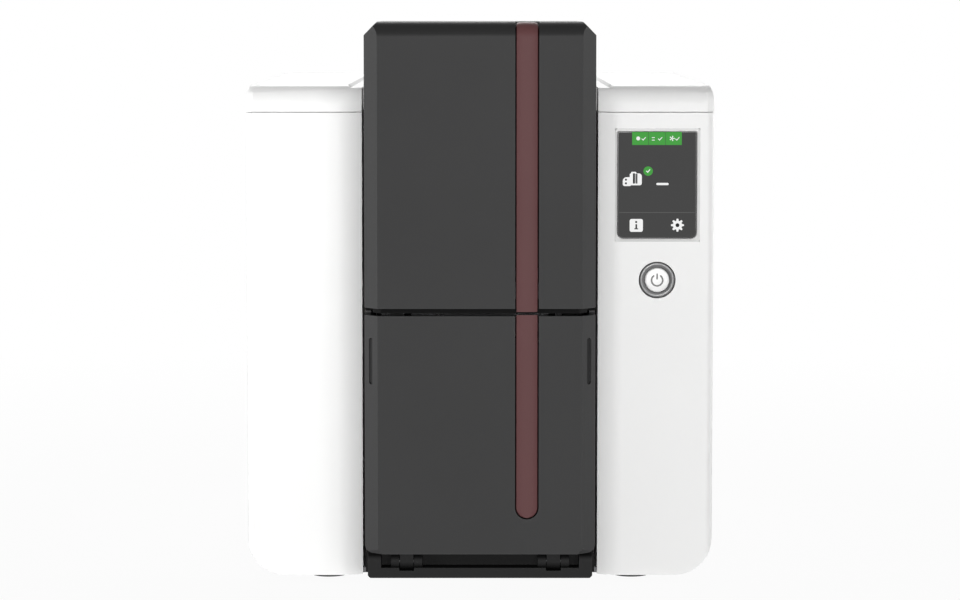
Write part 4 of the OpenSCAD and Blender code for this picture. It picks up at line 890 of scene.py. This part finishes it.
def portPieces():
    # folded metal shells in the two sockets, each with a tongue and gilt contacts: the shell's section
    # goes from the face through the mouth to its depth and back inside the casing
    edge = nodeBox("main_board")[0][0]
    rear = nodeBox("main_board")[1][1]
    black = finishes["inner_plastic"]
    gold = metal("giltContact", (0.75, 0.52, 0.2), rough=0.25, stretch=(1, 1, 1), grain=900.0)
    z, corner = port["z"], port["corner"]
    front, deep = rear + port["plate"], rear - port["depth"]
    for name, (start, end, pins) in port["sockets"].items():
        x = edge + (start + end) / 2
        wide, tall = end - start, port["tall"]
        clearX, clearZ = wide - 2 * port["wall"], tall - 2 * port["rise"]
        face = rounded(wide - port["facePlay"], tall - port["facePlay"], corner, 4)
        inside = rounded(clearX - port["play"], clearZ - port["play"], corner, 4)
        mouth = rounded(clearX - 2 * port["liner"], clearZ - 2 * port["liner"], port["mouthCorner"], 4)
        steps = ((face, rear + port["seat"]), (face, front), (mouth, front), (mouth, deep), (inside, deep),
                 (inside, rear + port["seat"]))
        rings = [onFront(outline, x, z, y) for outline, y in steps]
        loft(name + "Shell", rings, finishes["supply_metal"], "chassis", slot="board_green", closed=True,
             edge=port["round"])
        facePlate(name + "Back", mouth * port["backShare"], x, z, deep - port["backFar"],
                  deep - port["backNear"], black, "chassis", slot="board_green", smooth=False)
        tongue = clearX - 2 * port["tongueSide"]
        facePlate(name + "Tongue", rounded(tongue, port["tongueTall"], port["tongueCorner"], 4), x,
                  z + port["tongueUp"], rear - port["tongueRoot"], rear - port["tongueTip"], black,
                  "chassis", slot="board_green", edge=port["tongueRound"])
        pitch = tongue / pins
        contact = rounded(port["pinWide"] * pitch, port["pinTall"], 0.05, 3)
        for pin in range(pins):
            facePlate("%sPin%d" % (name, pin), contact, x + (pin - (pins - 1) / 2) * pitch,
                      z - port["pinDrop"], rear - port["pinRoot"], rear - port["pinTip"], gold, "chassis",
                      slot="board_green", smooth=False)


inlet = {
    # blades: places across and up from the middle, width, height, corner; depths from the rear face
    "blades": ((-7, -1), (7, -1), (0, 3)), "wide": 2.2, "tall": 4.2, "corner": 0.5,
    "tipShare": 0.6, "tip": 0.25, "shoulder": -0.6, "root": -13.9, "round": 0.1,
}


def inletPieces():
    # plated blades inside the inlet, each a bar that narrows at its tip
    middle = middleOf("power_inlet")
    rear = nodeBox("main_board")[1][1]
    blade = rounded(inlet["wide"], inlet["tall"], inlet["corner"], 5)
    steps = ((inlet["tipShare"], inlet["tip"]), (1.0, inlet["shoulder"]), (1.0, inlet["root"]))
    for index, (dx, dz) in enumerate(inlet["blades"]):
        rings = [onFront(blade * share, middle[0] + dx, middle[2] + dz, rear + y) for share, y in steps]
        loft("inletBlade%d" % index, rings, finishes["bright_steel"], "chassis", slot="inner_plastic",
             edge=inlet["round"])


board = {
    # places along and up in mm, then width, height and thickness, or for the cans radius and height
    "chips": ((-30, 50, 14, 14, 1.4), (62, 122, 10, 16, 1.6), (96, 52, 12, 12, 1.2),
              (118, 112, 9, 9, 1.0), (-8, 118, 8, 12, 1.2), (130, 70, 16, 8, 1.6), (34, 48, 6, 9, 1.2)),
    "cans": ((72, 46, 4.0, 11), (82, 40, 4.0, 11), (-58, 56, 5.0, 12), (-58, 70, 5.0, 12),
             (8, 60, 3.2, 8)),
    "plugs": ((-52, 128, 20, 6, 8), (20, 132, 28, 6, 8), (70, 134, 16, 6, 8), (140, 100, 6, 22, 8)),
    # the board's thickness, what the legs stick out by, the mark on a chip, the latch on a plug
    "thick": 1.6, "play": 0.01, "legs": 1.6, "legThick": 0.25, "dot": 0.5, "dotInset": 1.4,
    "latchShare": 0.5, "latchRise": 0.8, "smallSize": (2.0, 1.2, 0.6),
    # a can's sleeve with a groove near the board and its bare lid: share of the radius, place from
    # the board or from the top
    "canFoot": ((1.0, 0.0), (1.0, 0.8), (0.93, 1.3), (1.0, 1.9)), "canHead": ((1.0, 0.4), (0.92, 0.0)),
    "canLid": ((0.88, 0.2), (0.86, -0.06), (0.2, -0.02)),
    # the row of small parts: number, first place, pitch, middle height, sway and its step in radians
    "small": 46, "smallStart": -62, "smallPitch": 5.1, "smallUp": 32, "smallSway": 3, "smallStep": 1.7,
}


def boardPieces():
    # components on the inner face of the board: packages, wound cans, plugs and a row of small parts
    face = nodeBox("main_board")[1][0] - board["thick"]
    black = plastic("packageEpoxy", (0.016, 0.016, 0.017), rough=0.5, grain=1800.0)
    sleeve = plastic("canSleeve", (0.02, 0.022, 0.05), rough=0.3, grain=900.0)
    nylon = plastic("plugNylon", (0.68, 0.66, 0.6), grain=900.0)
    solder = metal("tinnedEnd", (0.62, 0.62, 0.6), stretch=(1, 1, 1), grain=900.0)

    def slab(name, y, z, wide, tall, thick, material, radius=0.4, edge=0.15):
        # a plate that stands off the board by its thickness
        outline = rounded(wide, tall, radius, 4)
        rings = [onSide(outline, y, z, x) for x in (face - thick, face - board["play"])]
        loft(name, rings, material, "chassis", slot="board_green", edge=edge)

    for index, (y, z, wide, tall, thick) in enumerate(board["chips"]):
        slab("chipLegs%d" % index, y, z, wide + board["legs"], tall + 0.2, board["legThick"], solder,
             0.1, 0.0)
        slab("chip%d" % index, y, z, wide, tall, thick, black)
        dotAt = (y - wide / 2 + board["dotInset"], z + tall / 2 - board["dotInset"])
        dot = [(board["dot"], face - thick - 0.02), (board["dot"], face - thick + 0.1)]
        turned("chipDot%d" % index, dot, "x", dotAt, nylon, "chassis", 20, slot="board_green")
    for index, (y, z, radius, tall) in enumerate(board["cans"]):
        top = face - tall
        foot = [(share * radius, face - x) for share, x in board["canFoot"]]
        head = [(share * radius, top + x) for share, x in board["canHead"]]
        lid = [(share * radius, top + x) for share, x in board["canLid"]]
        turned("can%d" % index, foot + head, "x", (y, z), sleeve, "chassis", slot="board_green", edge=0.1)
        turned("canTop%d" % index, lid, "x", (y, z), solder, "chassis", slot="board_green")
    for index, (y, z, wide, tall, thick) in enumerate(board["plugs"]):
        slab("plug%d" % index, y, z, wide, tall, thick, nylon, 0.5, 0.25)
        slab("plugLatch%d" % index, y, z, board["latchShare"] * wide, board["latchShare"] * tall,
             thick + board["latchRise"], nylon, 0.3, 0.15)
    # spaced evenly, with heights that sway by a sine
    for index in range(board["small"]):
        y = board["smallStart"] + board["smallPitch"] * index
        z = board["smallUp"] + board["smallSway"] * math.sin(board["smallStep"] * index)
        slab("part%d" % index, y, z, *board["smallSize"], black if index % 3 else nylon, 0.1, 0.0)


belt = {"inner": 7.3, "outer": 8.75, "tooth": 0.8, "pitch": 3.0, "toothSteps": 6, "turnSteps": 40}


def beltPiece(name, centres):
    # toothed belt: the path runs round the pulleys anticlockwise, and its inner side moves in by
    # tooth * (1 + tanh(3 cos(2 pi s / pitch))) / 2, where s is the length along the path
    low, high = nodeBox(name)
    centres = np.asarray(centres, float)
    step = np.roll(centres, -1, 0) - centres
    leave = np.arctan2(step[:, 1], step[:, 0]) - np.pi / 2
    arrive = np.roll(leave, 1)
    turn = (leave - arrive) % (2 * np.pi)
    share = np.linspace(0, 1, belt["turnSteps"])
    angle = (arrive[:, None] + turn[:, None] * share[None, :]).ravel()
    hub = np.repeat(centres, belt["turnSteps"], 0)
    normal = np.stack([np.cos(angle), np.sin(angle)], 1)
    middle = hub + belt["outer"] * normal
    closing = np.vstack([middle, middle[:1]])
    length = np.concatenate([[0], np.cumsum(np.linalg.norm(np.diff(closing, axis=0), axis=1))])
    teeth = int(length[-1] / belt["pitch"])
    s = np.linspace(0, length[-1], teeth * belt["toothSteps"], endpoint=False)
    path = np.hstack([np.vstack([hub, hub[:1]]), np.vstack([normal, normal[:1]])])
    at = np.stack([np.interp(s, length, path[:, i]) for i in range(4)], 1)
    side = at[:, 2:] / np.linalg.norm(at[:, 2:], axis=1, keepdims=True)
    wave = 0.5 * (1 + np.tanh(3 * np.cos(2 * np.pi * s * teeth / length[-1])))
    inner = belt["inner"] + belt["tooth"] * (1 - wave)
    out = at[:, :2] + side * belt["outer"]
    inside = at[:, :2] + side * inner[:, None]
    corners = ((low[0], inside), (high[0], inside), (high[0], out), (low[0], out))
    rings = np.stack([np.column_stack([np.full(len(s), x), edge]) for x, edge in corners], 1)
    loft(name + ".toothed", rings, finishes["belt_rubber"], "chassis", "belt_rubber", [name],
         closed=True, smooth=False)


motor = {
    # body length, end caps, how far the stack is set in, corner rounds and the boss, in mm
    "length": 34.0, "frontCap": 8.0, "rearCap": 9.0, "inset": 0.8, "capCorner": 4, "stackCorner": 6,
    "lap": 0.1, "round": 0.5, "boss": 10.9, "bossStep": 0.4, "collar": 5.0, "collarRise": 0.6,
    "bore": 1.6, "bossReach": 1.0, "shaft": 1.48, "shaftTip": 1.2, "shaftRound": 0.3,
}


def motorPiece():
    # stepper body: cast end caps around a stack of stamped plates, cut corners, boss and shaft
    low, high = nodeBox("drive_motor")
    y, z = middleOf("drive_motor")[1:]
    half = (high[1] - low[1]) / 2
    front, rear = high[0] - motor["length"], high[0]
    stackFront = front + motor["frontCap"] - motor["lap"]
    stackRear = rear - motor["rearCap"] + motor["lap"]
    cast = finishes["head_aluminium"]
    stack = metal("stackPlates", (0.2, 0.2, 0.21), rough=0.42, stretch=(60, 1, 1), grain=260.0,
                  depth=0.00005, vary=0.35)

    def blockBetween(name, start, end, size, corner, material, replaced=(), edge=0.0):
        # the same rounded square at both ends
        outline = rounded(2 * size, 2 * size, corner, 5)
        rings = [onSide(outline, y, z, x) for x in (start, end)]
        loft(name, rings, material, "chassis", "motor_metal", replaced, edge=edge)

    blockBetween("motorCapFront", front, front + motor["frontCap"], half, motor["capCorner"], cast,
                 ["drive_motor"], motor["round"])
    blockBetween("motorCapRear", rear - motor["rearCap"], rear, half, motor["capCorner"], cast,
                 edge=motor["round"])
    blockBetween("motorStack", stackFront, stackRear, half - motor["inset"], motor["stackCorner"], stack)
    boss = nodeBox("frame_left")[0][0] - motor["bossReach"]
    top = boss + motor["collarRise"]
    bossProfile = [(motor["boss"], front + motor["lap"]), (motor["boss"], boss + motor["bossStep"]),
                   (motor["boss"] - motor["bossStep"], boss), (motor["collar"], boss),
                   (motor["collar"], top), (motor["bore"], top)]
    turned("motorBoss", bossProfile, "x", (y, z), cast, "chassis", 56, slot="motor_metal")
    shaftProfile = [(motor["shaft"], boss + motor["bossReach"]),
                    (motor["shaft"], low[0] + motor["shaftRound"]), (motor["shaftTip"], low[0])]
    turned("motorShaft", shaftProfile, "x", (y, z), finishes["bright_steel"], "chassis", 32,
           slot="motor_metal")


spool = {
    # half length of the film and its round; core radius, flange radius and the flanges' places in mm
    "film": 27.0, "filmDrop": 0.4, "filmRound": 0.3, "core": 3.0, "coreTip": 2.6, "tipLength": 0.5,
    "hub": 3.2, "flange": 5.0, "flangeIn": 34.5, "flangeOut": 37.5, "flangeRound": 0.3,
}


def spoolPieces():
    # film wound on a moulded core, with end flanges
    film, slope = spool["film"], spool["flangeRound"]
    for name in ("supply_spool", "takeup_spool"):
        low, high = nodeBox(name)
        centre = middleOf(name)[1:]
        radius = (high[1] - low[1]) / 2
        edge = radius - spool["filmDrop"]
        wound = [(edge, -film), (radius, spool["filmRound"] - film), (radius, film - spool["filmRound"]),
                 (edge, film)]
        turned(name + ".film", wound, "x", centre, finishes["ribbon_roll"], name, 72,
               slot="ribbon_roll", replaced=[name])
        flange = [(spool["core"], spool["flangeOut"]), (spool["flange"], spool["flangeOut"] - slope),
                  (spool["flange"], spool["flangeIn"] + slope), (spool["hub"], spool["flangeIn"])]
        core = ([(spool["coreTip"], low[0]), (spool["core"], low[0] + spool["tipLength"])]
                + [(r, -x) for r, x in flange] + flange[::-1]
                + [(spool["core"], high[0] - spool["tipLength"]), (spool["coreTip"], high[0])])
        turned(name + ".core", core, "x", centre, finishes["cassette_plastic"], name, 48,
               slot="ribbon_roll")


screwPieces()
portPieces()
inletPieces()
boardPieces()
belts = {"drive_belt": ("front_pulley", "motor_pulley", "rear_pulley"),
         "feed_belt": ("feed_pulley", "feed_motor_pulley")}
for name, pulleys in belts.items():
    beltPiece(name, [middleOf(pulley)[1:] for pulley in pulleys])
motorPiece()
spoolPieces()
print("details placed")


# floor, light and camera

cameraPlace = {"height": 0.250657, "distance": -1.564717, "pitch": 4.938, "focalPixels": 3325.125,
               "frameWidth": 960, "sensor": 36.0, "nearest": 0.05, "farthest": 100.0}
lights = {
    # name: place, aim, size in m and watts
    "axisLamp": ((0.0, -3.2, 0.3), (0.0, -0.1, 0.12), 0.3, 52.0),
    "frontKey": ((0.0, -3.1, 0.45), (0.0, -0.1, 0.12), 0.8, 6.0),
    "frontRight": ((0.65, -3.05, 0.35), (0.0, -0.1, 0.12), 0.45, 13.0),
    "frontLeft": ((-2.2, -2.2, 0.5), (0.0, -0.1, 0.12), 0.8, 26.0),
    "leftSide": ((-2.8, 0.4, 0.35), (0.0, 0.0, 0.12), 0.6, 40.0),
    "rightSide": ((2.6, 1.2, 0.35), (0.0, 0.0, 0.12), 0.6, 34.0),
    "rear": ((1.3, 2.8, 0.4), (0.0, 0.0, 0.12), 0.7, 16.0),
    "rearHigh": ((0.0, 2.5, 1.8), (0.0, 0.0, 0.15), 1.4, 42.0),
}
studio = {
    # half the floor's side in m, its grey and roughness, where the white glow starts and is full in
    # m from the middle, its share at the start, and the light from all round
    "half": 30.0, "grey": (0.5, 0.5, 0.5, 1), "rough": 0.9, "glowStart": 0.25, "glowFull": 0.9,
    "startShare": 0.95, "white": (1, 1, 1, 1), "ambient": 0.08,
}


def seenWhite(tree):
    # 1 for what the camera, mirrors and glass see, 0 for the light that falls on the printer
    rays = node(tree, "ShaderNodeLightPath")
    through = maths(tree, "MAXIMUM", rays.outputs["Is Camera Ray"], rays.outputs["Is Transmission Ray"])
    return maths(tree, "MAXIMUM", through, rays.outputs["Is Glossy Ray"])


def mixShaders(tree, share, first, second):
    mix = node(tree, "ShaderNodeMixShader")
    tree.links.new(share, mix.inputs[0])
    tree.links.new(first.outputs[0], mix.inputs[1])
    tree.links.new(second.outputs[0], mix.inputs[2])
    return mix.outputs[0]


def addFloor():
    # one square; the white glow takes over with distance, so only the ground near the object shows
    # its shadow
    half = studio["half"]
    mesh = bpy.data.meshes.new("floor")
    mesh.from_pydata([(-half, -half, 0), (half, -half, 0), (half, half, 0), (-half, half, 0)], [],
                     [(0, 1, 2, 3)])
    floor = addObject("floor", mesh)
    made, tree, shader = newMaterial("floorWhite")
    shader.inputs["Base Color"].default_value = studio["grey"]
    shader.inputs["Roughness"].default_value = studio["rough"]
    glow = node(tree, "ShaderNodeEmission")
    glow.inputs["Color"].default_value = studio["white"]
    spot = node(tree, "ShaderNodeTexCoord")
    away = node(tree, "ShaderNodeVectorMath", operation="LENGTH")
    tree.links.new(spot.outputs["Object"], away.inputs[0])
    growing = ramp(tree, away.outputs["Value"], studio["glowStart"], studio["glowFull"],
                   studio["startShare"], 1.0)
    share = maths(tree, "MULTIPLY", seenWhite(tree), growing)
    mixed = mixShaders(tree, share, shader, glow)
    tree.links.new(mixed, tree.nodes["Material Output"].inputs["Surface"])
    mesh.materials.append(made)


def setWorld():
    world = bpy.data.worlds.new("studio")
    bpy.context.scene.world = world
    world.use_nodes = True
    tree = world.node_tree
    tree.nodes.clear()
    backdrop = node(tree, "ShaderNodeBackground", Strength=1.0)
    backdrop.inputs["Color"].default_value = studio["white"]
    ambient = node(tree, "ShaderNodeBackground", Strength=studio["ambient"])
    ambient.inputs["Color"].default_value = studio["white"]
    end = node(tree, "ShaderNodeOutputWorld")
    tree.links.new(mixShaders(tree, seenWhite(tree), ambient, backdrop), end.inputs["Surface"])


def addLight(name, spot, aim, size, watts):
    lamp = bpy.data.lights.new(name, "AREA")
    lamp.shape = "DISK"
    lamp.size = size
    lamp.energy = watts
    holder = addObject(name, lamp)
    holder.location = spot
    holder.rotation_euler = (Vector(aim) - Vector(spot)).to_track_quat("-Z", "Y").to_euler()


def addCamera():
    lens = bpy.data.cameras.new("camera")
    lens.sensor_width = cameraPlace["sensor"]
    lens.lens = cameraPlace["focalPixels"] / cameraPlace["frameWidth"] * cameraPlace["sensor"]
    lens.clip_start = cameraPlace["nearest"]
    lens.clip_end = cameraPlace["farthest"]
    camera = addObject("camera", lens)
    camera.location = (0, cameraPlace["distance"], cameraPlace["height"])
    camera.rotation_euler = (math.radians(90 - cameraPlace["pitch"]), 0, 0)
    bpy.context.scene.camera = camera


addFloor()
setWorld()
for name, row in lights.items():
    addLight(name, *row)
addCamera()
bpy.context.scene.view_settings.view_transform = "Standard"
print("stage set")
